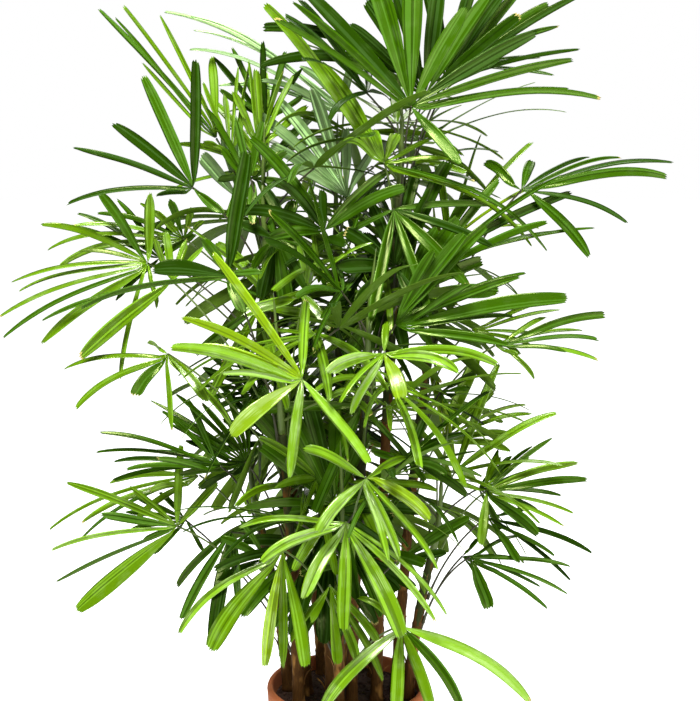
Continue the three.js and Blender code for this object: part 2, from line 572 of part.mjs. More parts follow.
// A stalk from its foot to the hub. It gives its path where nothing is in the way of it and of the hub.
function growStalk(leaf, foot, bend, node) {
  const end = leaf.hub.clone().addScaledVector(leaf.face, -HUB.above);
  const path = stalkPath(foot, bend, end);
  const free = stalkPath(foot, bend, end, 0.06);
  const rooms = [tube(path, STALK.radius, STALK.sides), tube(free, STALK.radius + CLEAR, 5), hubRoom(leaf)];
  if (!rooms.every((room) => isFree(room, node))) return null;
  for (const room of rooms) stand(room, node);
  return path;
}

// The foot of a stalk that stands against its cane: the nearest place where the two just don't touch.
function seat(cane, axis, out, bend, hub) {
  const foot = axis.clone().addScaledVector(out, CANE.tip);
  const stalk = () => tube(stalkPath(foot, bend, hub), STALK.radius, STALK.sides);
  while (stalk().intersect(cane.made).volume() > 0) foot.addScaledVector(out, GAP);
  return foot.addScaledVector(out, GAP / 2);
}

// The ways that a stalk beside its cane tries in turn: how far it swings aside, and how much lower it starts.
const SWINGS = [[0, 0], [30, 0], [-30, 0], [0, 60], [60, 20], [-60, 20], [30, 90], [-30, 90], [90, 40],
  [-90, 40], [60, 120], [-60, 120], [120, 60], [-120, 60], [0, -40], [40, -40], [-40, -40]];

// A placed leaf: its stalk stands close beside its cane, climbs and arches out to the hub.
function placedStalk(leaf, cane, node) {
  const reach = Math.hypot(leaf.hub.x - cane.tip.x, leaf.hub.y - cane.tip.y);
  for (const [aside, lower] of SWINGS) {
    const wanted = Math.min(leaf.hub.z - 110 - 0.5 * reach - lower, cane.tip.z - 12);
    const share = THREE.MathUtils.clamp((wanted - cane.foot.z) / (cane.tip.z - cane.foot.z), 0.12, 0.97);
    const axis = cane.line.getPoint(share);
    const out = leaf.hub.clone().sub(axis).setZ(0).normalize();
    const bend = axis.clone().lerp(leaf.hub, 0.42).setZ(lerp(axis.z, leaf.hub.z, 0.62) + 12);
    bend.addScaledVector(out.clone().cross(UP), aside);
    const path = growStalk(leaf, seat(cane, axis, out, bend, leaf.hub), bend, node);
    if (path) return path;
  }
  return null;
}

// The ways that a crown's leaf tries in turn: degrees round the cane, and a share of its stalk's length.
const TURNS = [];
for (const turn of [0, 22, -22, 44, -44, 66, -66, 90, -90, 120, -120, 150, -150, 180])
  for (const reach of [1, 0.75, 1.25, 0.5]) TURNS.push([turn, reach]);

// The way that a crown's leaf heads: a full turn of the cane is pressed together towards the back.
function crownHeading(degrees) {
  const fromMiddle = THREE.MathUtils.euclideanModulo(degrees - CROWN.middle + 180, 360) - 180;
  return headingOf(CROWN.middle + CROWN.round * fromMiddle);
}

// A crown's leaf: the young ones stand up near the tip, and the old ones reach out and hang lower down.
function crownLeaf(cane, number, [turn, reach]) {
  const seed = cane.seed + 31 * number;
  const roll = dice(seed);
  const age = (number + 1) / cane.leaves;
  const aged = ([young, old]) => lerp(young, old, age);
  const heading = crownHeading(cane.first + GOLDEN_ANGLE * number + turn);
  const foot = cane.shaft.getPoint(lerp(0.85, 0.15, age));
  const climb = rad(aged(CROWN.climb) + 8 * (roll() - 0.5));
  const stalk = aged(CROWN.stalk) * wobble(roll, 0.2) * reach;
  const rise = heading.clone().multiplyScalar(Math.cos(climb)).addScaledVector(UP, Math.sin(climb));
  const hub = foot.clone().addScaledVector(rise, stalk);
  const bend = foot.clone().lerp(hub, 0.45).addScaledVector(UP, 0.12 * stalk);
  const tilt = rad(aged(CROWN.tilt) + 16 * (roll() - 0.5));
  const middle = heading.clone().multiplyScalar(Math.cos(tilt)).addScaledVector(UP, Math.sin(tilt));
  const face = heading.clone().multiplyScalar(-Math.sin(tilt)).addScaledVector(UP, Math.cos(tilt));
  face.addScaledVector(heading.clone().cross(UP), Math.tan(rad(50 * (roll() - 0.5))));
  const leaf = layOut({
    hub, middle, face, seed: seed + 7, shorter: 0.15, lengths: 2,
    spread: aged(CROWN.spread) * wobble(roll, 0.1),
    blades: Math.round(aged(CROWN.blades)),
    length: aged(CROWN.length) * wobble(roll, 0.12),
    width: CROWN.width * wobble(roll, 0.15),
    droop: aged(CROWN.droop),
  });
  const tip = hub.clone().addScaledVector(middle, 0.9 * leaf.length);
  return { leaf, foot, bend, inside: isWithin(tip) };
}

// ---------------------------------------------------------------- the plant

const plant = new THREE.Group();
plant.name = "lady_palm";

const finishes = {
  clay: new THREE.MeshStandardMaterial({ color: 0xb8623c, roughness: 0.85, metalness: 0 }),
  soil: new THREE.MeshStandardMaterial({ color: 0x2e1c12, roughness: 1, metalness: 0 }),
  cane: new THREE.MeshStandardMaterial({ color: 0x5a3a22, roughness: 0.9, metalness: 0 }),
  leaf: new THREE.MeshStandardMaterial({ color: 0x3f8a12, roughness: 0.35, metalness: 0 }),
};

function addNode(name, made, finish) {
  const { vertProperties, triVerts } = made.getMesh();
  const geometry = new THREE.BufferGeometry();
  geometry.setAttribute("position", new THREE.BufferAttribute(vertProperties, 3));
  geometry.setIndex(new THREE.BufferAttribute(triVerts, 1));
  geometry.computeVertexNormals();
  const mesh = new THREE.Mesh(geometry, finish);
  mesh.name = name;
  plant.add(mesh);
}

addNode("pot", potSolid, finishes.clay);
addNode("soil", soilSolid, finishes.soil);
stand(potSolid, "pot");
stand(soilSolid, "soil");

const canes = Object.entries(CANES).map(([name, spec], number) => {
  const cane = { ...growCane(spec), name, seed: 101 + 997 * number };
  return { ...cane, made: caneSolid(cane) };
});
for (const cane of canes) {
  stand(cane.made, `cane_${cane.name}`);
  stand(shaftSolid(cane), `crown_${cane.name}`);
  addNode(`cane_${cane.name}`, cane.made, finishes.cane);
}

const placed = Object.entries(LEAVES).map(([name, spec]) => {
  const leaf = placedLeaf(spec);
  const node = `leaf_${name}`;
  const path = placedStalk(leaf, canes.find((cane) => cane.name === spec.cane), node);
  if (!path) throw new Error(`no free way for the stalk of ${node}`);
  return { leaf, node, path };
});
for (const { leaf, node, path } of placed) {
  const fan = fanSolid(leaf, growBlades(leaf, node));
  addNode(node, fan.add(tube(path, STALK.radius, STALK.sides)), finishes.leaf);
}

// A crown's leaf takes the first way that leaves room for nearly all its blades, or else the best one.
function growCrownLeaf(cane, number, node) {
  let best = { share: 0.5 };
  for (const turn of TURNS) {
    const before = standing.length;
    const { leaf, foot, bend, inside } = crownLeaf(cane, number, turn);
    const path = inside && growStalk(leaf, foot, bend, node);
    if (!path) continue;
    const blades = growBlades(leaf, node);
    const share = blades.length / leaf.blades;
    const rooms = standing.splice(before);
    if (share > best.share) best = { share, leaf, path, blades, rooms };
    if (share > 0.85) break;
  }
  if (!best.leaf) return null;
  standing.push(...best.rooms);
  return best;
}

for (const cane of canes) {
  const node = `crown_${cane.name}`;
  let crown = shaftSolid(cane);
  for (let number = 0; number < cane.leaves; number++) {
    const grown = growCrownLeaf(cane, number, node);
    if (!grown) continue;
    crown = crown.add(fanSolid(grown.leaf, grown.blades)).add(tube(grown.path, STALK.radius, STALK.sides));
  }
  addNode(node, crown, finishes.leaf);
}

export default plant;
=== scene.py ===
"""A lady palm in a clay pot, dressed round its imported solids: metres, +Z up, the palm's open side towards -Y.

The growth rule is the solids' own, in millimetres. Where the solids chose among several ways for a stalk or a
blade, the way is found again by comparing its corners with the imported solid's corners.
"""

import functools
import math
from collections import namedtuple

import bpy
import numpy as np
from bpy.props import FloatProperty, FloatVectorProperty, IntProperty, PointerProperty
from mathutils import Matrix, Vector
from mathutils.bvhtree import BVHTree
from mathutils.kdtree import KDTree


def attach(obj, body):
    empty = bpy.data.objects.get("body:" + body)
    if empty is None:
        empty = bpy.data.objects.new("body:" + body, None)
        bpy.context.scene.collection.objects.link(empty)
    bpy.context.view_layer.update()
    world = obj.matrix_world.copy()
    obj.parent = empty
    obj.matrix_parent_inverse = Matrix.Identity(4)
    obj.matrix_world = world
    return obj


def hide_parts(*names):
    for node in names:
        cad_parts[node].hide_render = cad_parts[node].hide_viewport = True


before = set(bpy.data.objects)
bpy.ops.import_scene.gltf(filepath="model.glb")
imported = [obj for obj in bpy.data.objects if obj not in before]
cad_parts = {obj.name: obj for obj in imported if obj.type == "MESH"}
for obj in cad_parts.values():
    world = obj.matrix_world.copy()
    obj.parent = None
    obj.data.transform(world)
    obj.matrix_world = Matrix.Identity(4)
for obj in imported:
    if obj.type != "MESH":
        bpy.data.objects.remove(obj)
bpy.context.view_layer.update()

bl_info = {
    "name": "Potted Lady Palm",
    "version": (1, 0, 0),
    "blender": (4, 5, 0),
    "location": "View3D > Sidebar > Palm",
    "description": "Grows a lady palm with pleated fan leaves, fibrous canes and a clay pot",
    "category": "Add Mesh",
}

MM = 0.001
UP = Vector((0, 0, 1))
BODY = "root"


def linear(code):
    """The linear colour of an sRGB hex value."""
    parts = [int(code[i : i + 2], 16) / 255 for i in (1, 3, 5)]
    return tuple(p / 12.92 if p <= 0.04045 else ((p + 0.055) / 1.055) ** 2.4 for p in parts)


def colour_property(name, code, description):
    return FloatVectorProperty(
        name=name, description=description, default=linear(code), size=3, subtype="COLOR", min=0, max=1
    )


def length_property(name, millimetres, description):
    return FloatProperty(name=name, description=description, default=millimetres * MM, min=0, unit="LENGTH")


# ---------------------------------------------------------------- the growth rule, in millimetres

POT = dict(height=280, rim=160, band=54, ledge=10, neck=150, foot=108, wall=11, floor=16)
SOIL_LEVEL = 252
CANE = dict(foot=11.5, tip=7.5, flare=1.25)
SHAFT = dict(foot=7.5, tip=3, length=150)
STALK = dict(radius=2.3, sides=3, steps=3, drop=110, below_tip=12, lowest=0.12, highest=0.97, seats=60)
BLADE = dict(steps=12, keel=3, root=(15, 32), root_width=6)
HUB_ABOVE = 2
GAP = 0.3
GOLDEN_ANGLE = 137.5
SAME_CORNER = 0.5
PLACED_SEED, FILLING_SEED = 11, 4001
# What is added to the seed of a cane or a leaf for each kind of draw, and the seed of the crumbs.
SEEDS = dict(inner=5003, fibres=77, spear=401, tints=611, crumbs=71)

# Canes: where each foot stands on the soil (heading in degrees, distance from the middle), where the tip is,
# the heading of the first leaf of the crown, and how many leaves the crown has.
CANES = dict(
    tall=dict(heading=-20, out=62, tip=(98, -5, 1250), first=200, leaves=4),
    left=dict(heading=172, out=82, tip=(-150, 20, 1120), first=90, leaves=4),
    rear=dict(heading=95, out=70, tip=(-20, 120, 1130), first=250, leaves=5),
    right=dict(heading=10, out=100, tip=(165, 45, 980), first=40, leaves=5),
    middle=dict(heading=-75, out=35, tip=(35, -105, 900), first=200, leaves=5),
    near=dict(heading=205, out=105, tip=(-120, -110, 820), first=100, leaves=5),
    back=dict(heading=60, out=110, tip=(90, 200, 860), first=60, leaves=5),
    inner=dict(heading=240, out=60, tip=(-50, -40, 700), first=300, leaves=5),
    leftLow=dict(heading=165, out=122, tip=(-175, 50, 600), first=120, leaves=4),
    rightLow=dict(heading=-5, out=122, tip=(165, -40, 560), first=20, leaves=4),
    front=dict(heading=-100, out=95, tip=(-10, -170, 560), first=280, leaves=4),
    backLow=dict(heading=115, out=122, tip=(-90, 190, 560), first=130, leaves=4),
)

# The placed leaves are laid out on a sheet: a front view of the plant, 700 steps wide and high, as seen from
# the eye, which looks down by the pitch. A step is one part in "far" of the distance from the eye.
SHEET = dict(eye=Vector((6, -2800, 1500)), pitch=math.radians(11), far=1488, middle=(350, 350.5))

# The leaves that give the plant its outline and its near side, as the solids have them. Each has its cane,
# its tint, its hub, as a place on the sheet and how far back it stands, the way its upper side faces, how
# many degrees its blades bend down, and its blades: the tip's place on the sheet, how far it comes out in
# front of the hub, how wide the blade shows there, and its own bend where that differs.
# A leaf's tint carries painted light or shade: bright is painted light on leaves at the front, and deep and
# dark are painted shade.
LEAVES = dict(
    top=("tall", "deep", (411, 107, -60), (0.1, -1, 0.35), 12, (
        (600, 99, -20, 14, 30), (574, 86, -40, 12), (572, 60, -30, 17), (536, 34, -30, 26),
        (465, 8, -20, 29), (413, -32, -60, 46), (371, -30, -50, 44), (303, -10, -30, 26), (293, 3, 10, 16),
        (275, 18, 20, 14), (460, 164, 60, 22))),
    topRear=("tall", "dark", (445, 80, 80), (-0.2, -0.8, 0.5), 16, (
        (578, 50, -20, 12), (583, -6, 0, 16), (556, 10, -30, 14), (511, -20, -30, 28), (476, -25, -40, 24),
        (428, -20, -40, 30), (264, 28, 20, 20, 30), (262, 66, 40, 22, 40))),
    topLeft=("tall", "mid", (384, 163, -40), (0.1, -0.9, 0.3), 22, (
        (547, 251, 30, 11, 55), (531, 246, 0, 11, 55), (448, 160, 10, 12, 30), (430, 141, -10, 12),
        (397, 133, -10, 24), (373, 130, -40, 20), (322, 64, -20, 27), (266, 7, -30, 21),
        (343, 143, 60, 15, 70))),
    topPale=("rear", "pale", (420, 141, 220), (0, 0.7, 0.7), 18, (
        (565, 112, 0, 12, 35), (534, 83, -20, 16), (440, 107, -40, 26), (404, 107, -30, 26),
        (372, 102, 0, 16), (334, 108, 20, 20), (348, 130, 20, 22))),
    topArc=("rear", "pale", (344, 112, 110), (0.3, -0.6, 0.7), 34, (
        (165, 12, 0, 10), (200, 15, -20, 10), (185, 32, 20, 10), (190, 50, 40, 10), (225, 65, 50, 12),
        (262, 80, 50, 14), (300, 66, -20, 16), (352, 64, -30, 18, 16))),
    rightReach=("right", "deep", (521, 190, 0), (0, -0.4, 1), 30, (
        (589, 256, 60, 21), (626, 223, 40, 12, 40), (666, 178, 20, 18, 35), (672, 162, -20, 12),
        (620, 158, -60, 11), (589, 158, -90, 11), (532, 161, -80, 20), (484, 163, -60, 20, 50))),
    rightInner=("right", "deep", (432, 264, -40), (-0.3, -0.8, 0.6), 14, (
        (559, 231, 20, 10), (550, 228, 40, 16), (594, 208, 20, 10), (573, 190, 20, 12), (566, 174, 0, 18),
        (499, 180, -40, 18), (474, 196, -20, 24))),
    centre=("tall", "dark", (396, 266, -60), (0, -0.9, 0.4), 16, (
        (448, 162, -40, 26), (427, 187, -20, 15), (405, 164, -60, 22), (372, 204, -30, 24),
        (345, 232, -10, 27), (338, 268, 20, 30), (355, 306, 50, 27), (424, 322, 60, 22))),
    rightMid=("middle", "deep", (395, 325, -160), (-0.3, -0.8, 0.6), 14, (
        (508, 345, 60, 18), (512, 316, 20, 12), (567, 298, 40, 28), (520, 278, 20, 18), (523, 265, 0, 12),
        (470, 284, 60, 16), (486, 226, -30, 24), (469, 238, -20, 26), (442, 254, -20, 22))),
    rightFlat=("right", "mid", (494, 345, 0), (0, -0.3, 1), 24, (
        (517, 355, 70, 14), (534, 379, 60, 12, 45), (566, 352, 40, 12), (599, 350, 30, 11),
        (597, 339, 10, 12), (604, 314, -10, 17), (581, 322, -30, 10), (546, 317, -40, 13))),
    rightBack=("right", "mid", (440, 440, 60), (-0.2, -0.9, 0.4), 20, (
        (510, 451, 40, 17, 40), (513, 434, 20, 16, 35), (531, 414, 10, 12, 35), (526, 402, -10, 11, 30),
        (494, 391, -20, 22), (479, 357, -40, 27))),
    leftHigh=("left", "dark", (193, 188, -40), (-0.2, -0.9, 0.3), 10, (
        (222, 214, 30, 18), (197, 61, -30, 21), (143, 77, -20, 22), (114, 124, -10, 21),
        (74, 148, 10, 14, 16), (68, 204, 20, 12, 30), (155, 196, 20, 12, 30))),
    leftPeak=("left", "mid", (217, 139, 60), (0.3, -0.8, 0.4), 8, (
        (215, 56, -20, 19), (160, 16, -20, 12), (124, 7, -20, 11), (100, 10, -10, 13), (111, 24, 10, 10),
        (146, 61, 20, 10))),
    leftReach=("left", "mid", (148, 263, 0), (-0.2, -0.8, 0.6), 26, (
        (150, 193, -20, 21, 10), (101, 193, -20, 21, 14), (42, 226, 10, 15, 35), (80, 251, -10, 12),
        (12, 282, 20, 11), (20, 291, 0, 10), (0, 317, 30, 12), (3, 337, 40, 12), (43, 344, 50, 18),
        (120, 378, 50, 12, 55), (157, 307, 40, 12))),
    leftSmall=("left", "mid", (184, 239, 60), (0, -1, 0.4), 30, (
        (203, 221, 0, 14), (192, 208, -10, 16, 8), (170, 199, -20, 18, 8), (154, 212, -10, 18, 8),
        (140, 204, 0, 12), (98, 213, 0, 13), (73, 226, 20, 11), (48, 250, 20, 11, 45),
        (58, 264, 30, 15, 45))),
    leftUnder=("near", "mid", (172, 281, -40), (-0.2, -0.9, 0.4), 12, (
        (203, 247, -20, 12), (190, 241, -30, 16), (166, 232, -30, 17), (156, 238, -20, 15),
        (43, 321, 20, 12, 24), (80, 357, 40, 27))),
    nearLeft=("near", "deep", (228, 275, -140), (-0.1, -0.9, 0.5), 14, (
        (243, 312, 30, 22), (262, 273, 10, 14), (247, 152, -20, 28), (203, 239, 0, 19),
        (153, 269, 20, 32, 20), (82, 306, 40, 12, 30))),
    rearPale=("rear", "pale", (348, 198, 50), (0.2, -0.6, 0.8), 16, (
        (374, 150, -20, 18), (347, 128, -30, 20), (304, 92, -20, 27), (280, 102, -10, 24),
        (256, 113, 0, 22), (274, 141, 10, 20), (288, 172, 20, 20))),
    rearLeft=("rear", "deep", (325, 230, -50), (0, -0.6, 0.9), 24, (
        (345, 246, 40, 20), (402, 184, -20, 22), (388, 172, -40, 18), (321, 190, -20, 18),
        (250, 138, -10, 24), (266, 183, 10, 18, 40), (240, 212, 20, 24, 40), (268, 238, 40, 24, 30))),
    nearFront=("near", "bright", (302, 379, -330), (0.1, -0.8, 0.6), 22, (
        (368, 463, 70, 18), (290, 478, 80, 19), (232, 436, 60, 31, 36), (220, 377, 40, 14),
        (170, 354, 10, 20, 26), (201, 348, -20, 20), (182, 317, -20, 17), (213, 253, -60, 17, 8),
        (306, 300, -60, 18, 8))),
    leftMid=("near", "mid", (168, 354, -60), (0, -0.4, 1), 36, (
        (148, 342, -30, 10), (65, 369, 0, 12), (76, 408, 20, 15, 45), (134, 395, 40, 24, 40),
        (172, 430, 40, 13), (209, 402, 50, 22, 40), (232, 423, 20, 15))),
    leftLow=("leftLow", "mid", (177, 526, -40), (-0.1, -0.95, 0.15), 8, (
        (218, 483, -10, 17), (181, 445, -20, 17), (130, 487, -20, 14), (67, 482, 0, 17), (102, 516, 10, 18),
        (52, 550, 10, 12, 24), (57, 581, 20, 11), (78, 611, 40, 35))),
    leftTuft=("leftLow", "deep", (222, 466, -60), (-0.1, -0.3, 1), 22, (
        (113, 471, 30, 12), (127, 469, 40, 13), (114, 462, 10, 12), (158, 459, 60, 15), (97, 452, -20, 10),
        (101, 432, 0, 12), (145, 452, -40, 10), (162, 411, -30, 13), (188, 400, -60, 15))),
    lowTuft=("leftLow", "mid", (200, 475, 40), (-0.1, -0.5, 1), 34, (
        (150, 490, 40, 17), (128, 513, 30, 16), (87, 531, 20, 14), (73, 531, 0, 10), (50, 529, -20, 10),
        (110, 484, -30, 15))),
    frontLeft=("front", "bright", (283, 550, -260), (-0.1, -0.6, 1), 46, (
        (181, 633, 40, 16, 70), (211, 650, 60, 39), (265, 666, 90, 22), (283, 667, 50, 18),
        (306, 666, 90, 27))),
    frontLow=("front", "mid", (330, 585, -230), (0, -0.6, 0.8), 34, (
        (290, 642, 40, 16), (312, 622, 60, 18), (338, 664, 50, 23), (357, 662, 70, 20), (378, 642, 50, 18),
        (383, 680, 40, 16))),
    frontRight=("front", "bright", (366, 478, -320), (0.1, -0.7, 0.8), 34, (
        (304, 448, -10, 18), (318, 531, 60, 21), (389, 560, 80, 15), (405, 555, 60, 17), (434, 572, 50, 14),
        (402, 512, 20, 17), (430, 519, 30, 22), (405, 458, -40, 16))),
    rightTuft=("rightLow", "mid", (487, 490, -60), (0.1, -0.7, 0.7), 16, (
        (481, 545, 60, 20), (538, 535, 50, 23, 30), (564, 525, 30, 11), (573, 512, 20, 10),
        (587, 480, 10, 17), (578, 463, -10, 16, 26), (552, 438, -40, 13), (529, 457, -50, 12),
        (498, 455, -50, 18), (408, 476, 0, 14, 24))),
    rightLow=("rightLow", "deep", (487, 517, -20), (0.1, -0.6, 0.8), 24, (
        (519, 563, 50, 18), (554, 555, 30, 11), (570, 580, 10, 11), (592, 552, -10, 13),
        (531, 509, -40, 12))),
    rightUnder=("rightLow", "deep", (469, 557, -60), (0.2, -0.7, 0.8), 26, (
        (488, 608, 50, 25), (547, 608, 40, 12), (567, 594, 20, 11), (571, 560, 0, 12, 40),
        (520, 531, -30, 10, 40))),
    potFront=("front", "mid", (402, 626, -330), (0.1, -0.7, 0.9), 50, (
        (322, 712, 60, 24), (396, 718, 80, 23), (432, 714, 70, 20), (464, 712, 50, 18), (530, 702, 20, 21),
        (358, 597, -30, 14))),
    nearTop=("middle", "bright", (384, 353, -330), (0, -0.6, 1), 46, (
        (329, 373, 40, 24), (340, 402, 60, 12), (351, 412, 50, 17), (401, 398, 60, 26, 70),
        (458, 373, 50, 20, 60), (498, 357, 30, 17, 40), (386, 322, -40, 15, 10))),
    lowCentre=("front", "bright", (346, 522, -320), (-0.1, -0.7, 0.9), 42, (
        (240, 528, 0, 13), (261, 562, 40, 21), (303, 598, 80, 25), (344, 630, 90, 24), (402, 637, 90, 31),
        (434, 621, 50, 14), (447, 614, 20, 11))),
    rightNear=("middle", "deep", (408, 458, -170), (0, -0.7, 0.7), 20, (
        (370, 452, 30, 16), (446, 474, 50, 18, 50), (467, 496, 20, 18), (482, 476, -10, 12),
        (425, 417, -30, 18))),
)

# A crown's leaves, from the youngest to the oldest: the stalk's length and climb, how far the leaf tilts
# up, the spread and how much it differs, the number of blades, their length, droop and width. They stand
# round the back and the sides: a share of the full turn about the heading in the middle.
CROWN = dict(stalk=(120, 260), climb=(66, 24), tilt=(62, -30), spread=(150, 240), uneven=0.1, blades=(6, 8.6),
             length=(215, 250), droop=(18, 50), width=27, middle=90, round=0.65)

# The small bends that a blade tries in turn: degrees aside, of lift and of droop.
BENDS = [(0, 0, 0)] + [
    (aside * size, lift * size, droop * size)
    for size in (1, 2, 3)
    for aside, lift, droop in ((0, 7, 0), (0, -7, 0), (2.5, 0, 0), (-2.5, 0, 0), (2, 6, 8), (-2, 6, 8),
                               (2, -6, -8), (-2, -6, -8))
]

# The ways that a placed leaf's stalk tries in turn: how far it swings aside, and how much lower it starts.
SWINGS = [(0, 0), (30, 0), (-30, 0), (0, 60), (60, 20), (-60, 20), (30, 90), (-30, 90), (90, 40), (-90, 40),
          (60, 120), (-60, 120), (120, 60), (-120, 60), (0, -40), (40, -40), (-40, -40)]

# The ways that a crown's leaf tries in turn: degrees round the cane, and a share of its stalk's length.
TURNS = [
    (turn, reach)
    for turn in (0, 22, -22, 44, -44, 66, -66, 90, -90, 120, -120, 150, -150, 180)
    for reach in (1, 0.75, 1.25, 0.5)
]

# How far the tips of the leaves may stand from the middle of the pot, at rising heights, and the share of
# it that they may stand to the side.
OUTLINE_SIDE = 0.75
OUTLINE = ((450, 260), (560, 370), (700, 420), (1000, 440), (1250, 440), (1400, 380), (1550, 260),
           (1700, 100))


def dice(seed):
    """A repeatable row of numbers from 0 to 1."""
    state = seed % 2**32

    def roll():
        nonlocal state
        state = (state * 1664525 + 1013904223) % 2**32
        return state / 2**32

    return roll


def wobble(roll, share):
    return 1 + share * (2 * roll() - 1)


def lerp(a, b, t):
    return a + (b - a) * t


def heading_of(degrees):
    turn = math.radians(degrees)
    return Vector((math.cos(turn), math.sin(turn), 0))


def bent(a, b, c, t):
    """A point on the curve that leaves a towards b and reaches c."""
    return a.lerp(b, t).lerp(b.lerp(c, t), t)


def rings_of(path, radii, sides, foot_way=None, tip_way=None):
    """Rings of points round a path, square to it, apart from the two ends if ways are given for them."""
    last = len(path) - 1
    side = Vector((0, 1, 0)) if abs((path[1] - path[0]).normalized().x) > 0.8 else Vector((1, 0, 0))
    rings = []
    for k, at in enumerate(path):
        along = path[min(k + 1, last)] - path[max(k - 1, 0)]
        if k == 0 and foot_way is not None:
            along = foot_way
        if k == last and tip_way is not None:
            along = tip_way
        along = along.normalized()
        side = (side - along * side.dot(along)).normalized()
        other = along.cross(side)
        turns = [2 * math.pi * (i + 1) / sides for i in range(sides)]
        rings.append([at + (side * math.cos(a) + other * math.sin(a)) * radii[k] for a in turns])
    return rings


class Cane:
    """A cane that leaves the soil almost upright and leans out, with its shaft, which carries on up."""

    def __init__(self, name, number, heading, out, tip, first, leaves):
        self.name, self.first, self.leaves, self.seed = name, first, leaves, 101 + 997 * number
        self.foot = heading_of(heading) * out + UP * (SOIL_LEVEL + GAP)
        self.tip = Vector(tip)
        self.knee = self.foot.lerp(self.tip, 0.25)
        self.knee.z = lerp(self.foot.z, self.tip.z, 0.5)
        self.lean = (self.tip - self.knee).normalized()
        shaft_foot = self.tip + self.lean * GAP
        shaft_knee = shaft_foot + self.lean * SHAFT["length"] / 2
        self.shaft = (shaft_foot, shaft_knee, shaft_knee + UP * SHAFT["length"] / 2)

    def at(self, share):
        return bent(self.foot, self.knee, self.tip, share)

    def shaft_at(self, share):
        return bent(*self.shaft, share)

    @staticmethod
    def radius(share):
        return lerp(CANE["foot"], CANE["tip"], share)


class Leaf:
    """A fan leaf: where its hub is and how it faces, with the ways in its plane."""

    def __init__(self, seed, hub, middle, face):
        self.seed, self.hub, face = seed, hub, Vector(face)
        self.middle = middle.normalized()
        self.face = (face - self.middle * face.dot(self.middle)).normalized()
        self.side = self.face.cross(self.middle)

    def lay_out(self, spread, blades, length):
        """The room that the blades' roots need, from the angle in degrees that they spread over."""
        self.spread, self.blades, self.length = spread, blades, length
        root = 1.3 * blades * BLADE["root_width"] / math.radians(spread)
        self.root = min(max(root, BLADE["root"][0]), BLADE["root"][1])
        self.keel = max(BLADE["keel"], 0.0115 * length)

    def way_at(self, turn):
        return self.middle * math.cos(turn) + self.side * math.sin(turn)

    def turn_of(self, way):
        return math.atan2(way.dot(self.side), way.dot(self.middle))


class SeededLeaf(Leaf):
    """A leaf whose blades are drawn by lot."""

    def __init__(self, seed, hub, middle, face, spread, blades, length, width, droop):
        super().__init__(seed, hub, middle, face)
        self.lay_out(spread, blades, length)
        self.width, self.droop = width, droop

    def blade_numbers(self):
        """What each blade is drawn with, from one edge of the fan to the other."""
        roll = dice(self.seed)
        for j in range(self.blades):
            t = 2 * j / (self.blades - 1) - 1
            turn = math.radians(t * self.spread / 2 + 2.4 * (roll() - 0.5))
            length = self.length * (1 - 0.15 * t * t) * wobble(roll, 0.07)
            width = self.width * (1 - 0.35 * abs(t) ** 1.5) * wobble(roll, 0.16)
            lift = math.radians(10 - 18 * t * t + 5 * (roll() - 0.5))
            droop = math.radians(self.droop * (0.85 + 0.3 * abs(t)) * wobble(roll, 0.2))
            yield turn, 0, length, width, lift, droop


class Draws:
    """What a seeded leaf is drawn with. Its age goes from 0, the youngest leaf, to 1, the oldest."""

    def __init__(self, kind, seed, age):
        self.kind, self.seed, self.age, self.roll = kind, seed, age, dice(seed)

    def aged(self, part):
        return lerp(*self.kind[part], self.age)

    def angle(self, part, scatter):
        return math.radians(self.aged(part) + scatter * (self.roll() - 0.5))

    def leaf(self, foot, bend, hub, middle, face):
        """The leaf and its stalk. Its spread, its length and its width are drawn in this order."""
        leaf = SeededLeaf(
            self.seed + 7, hub, middle, face,
            spread=self.aged("spread") * wobble(self.roll, self.kind["uneven"]),
            blades=math.floor(self.aged("blades") + 0.5),
            length=self.aged("length") * wobble(self.roll, 0.12),
            width=self.kind["width"] * wobble(self.roll, 0.15),
            droop=self.aged("droop"),
        )
        return leaf, Stalk(foot, bend, leaf)


def on_sheet(x, y, back):
    """The point that shows at a place on the sheet and stands so far back."""
    eye, pitch, far = SHEET["eye"], SHEET["pitch"], SHEET["far"]
    right, down = x - SHEET["middle"][0], y - SHEET["middle"][1]
    way = Vector((right, far * math.cos(pitch) - down * math.sin(pitch),
                  -far * math.sin(pitch) - down * math.cos(pitch)))
    return eye + way * ((back - eye.y) / way.y)


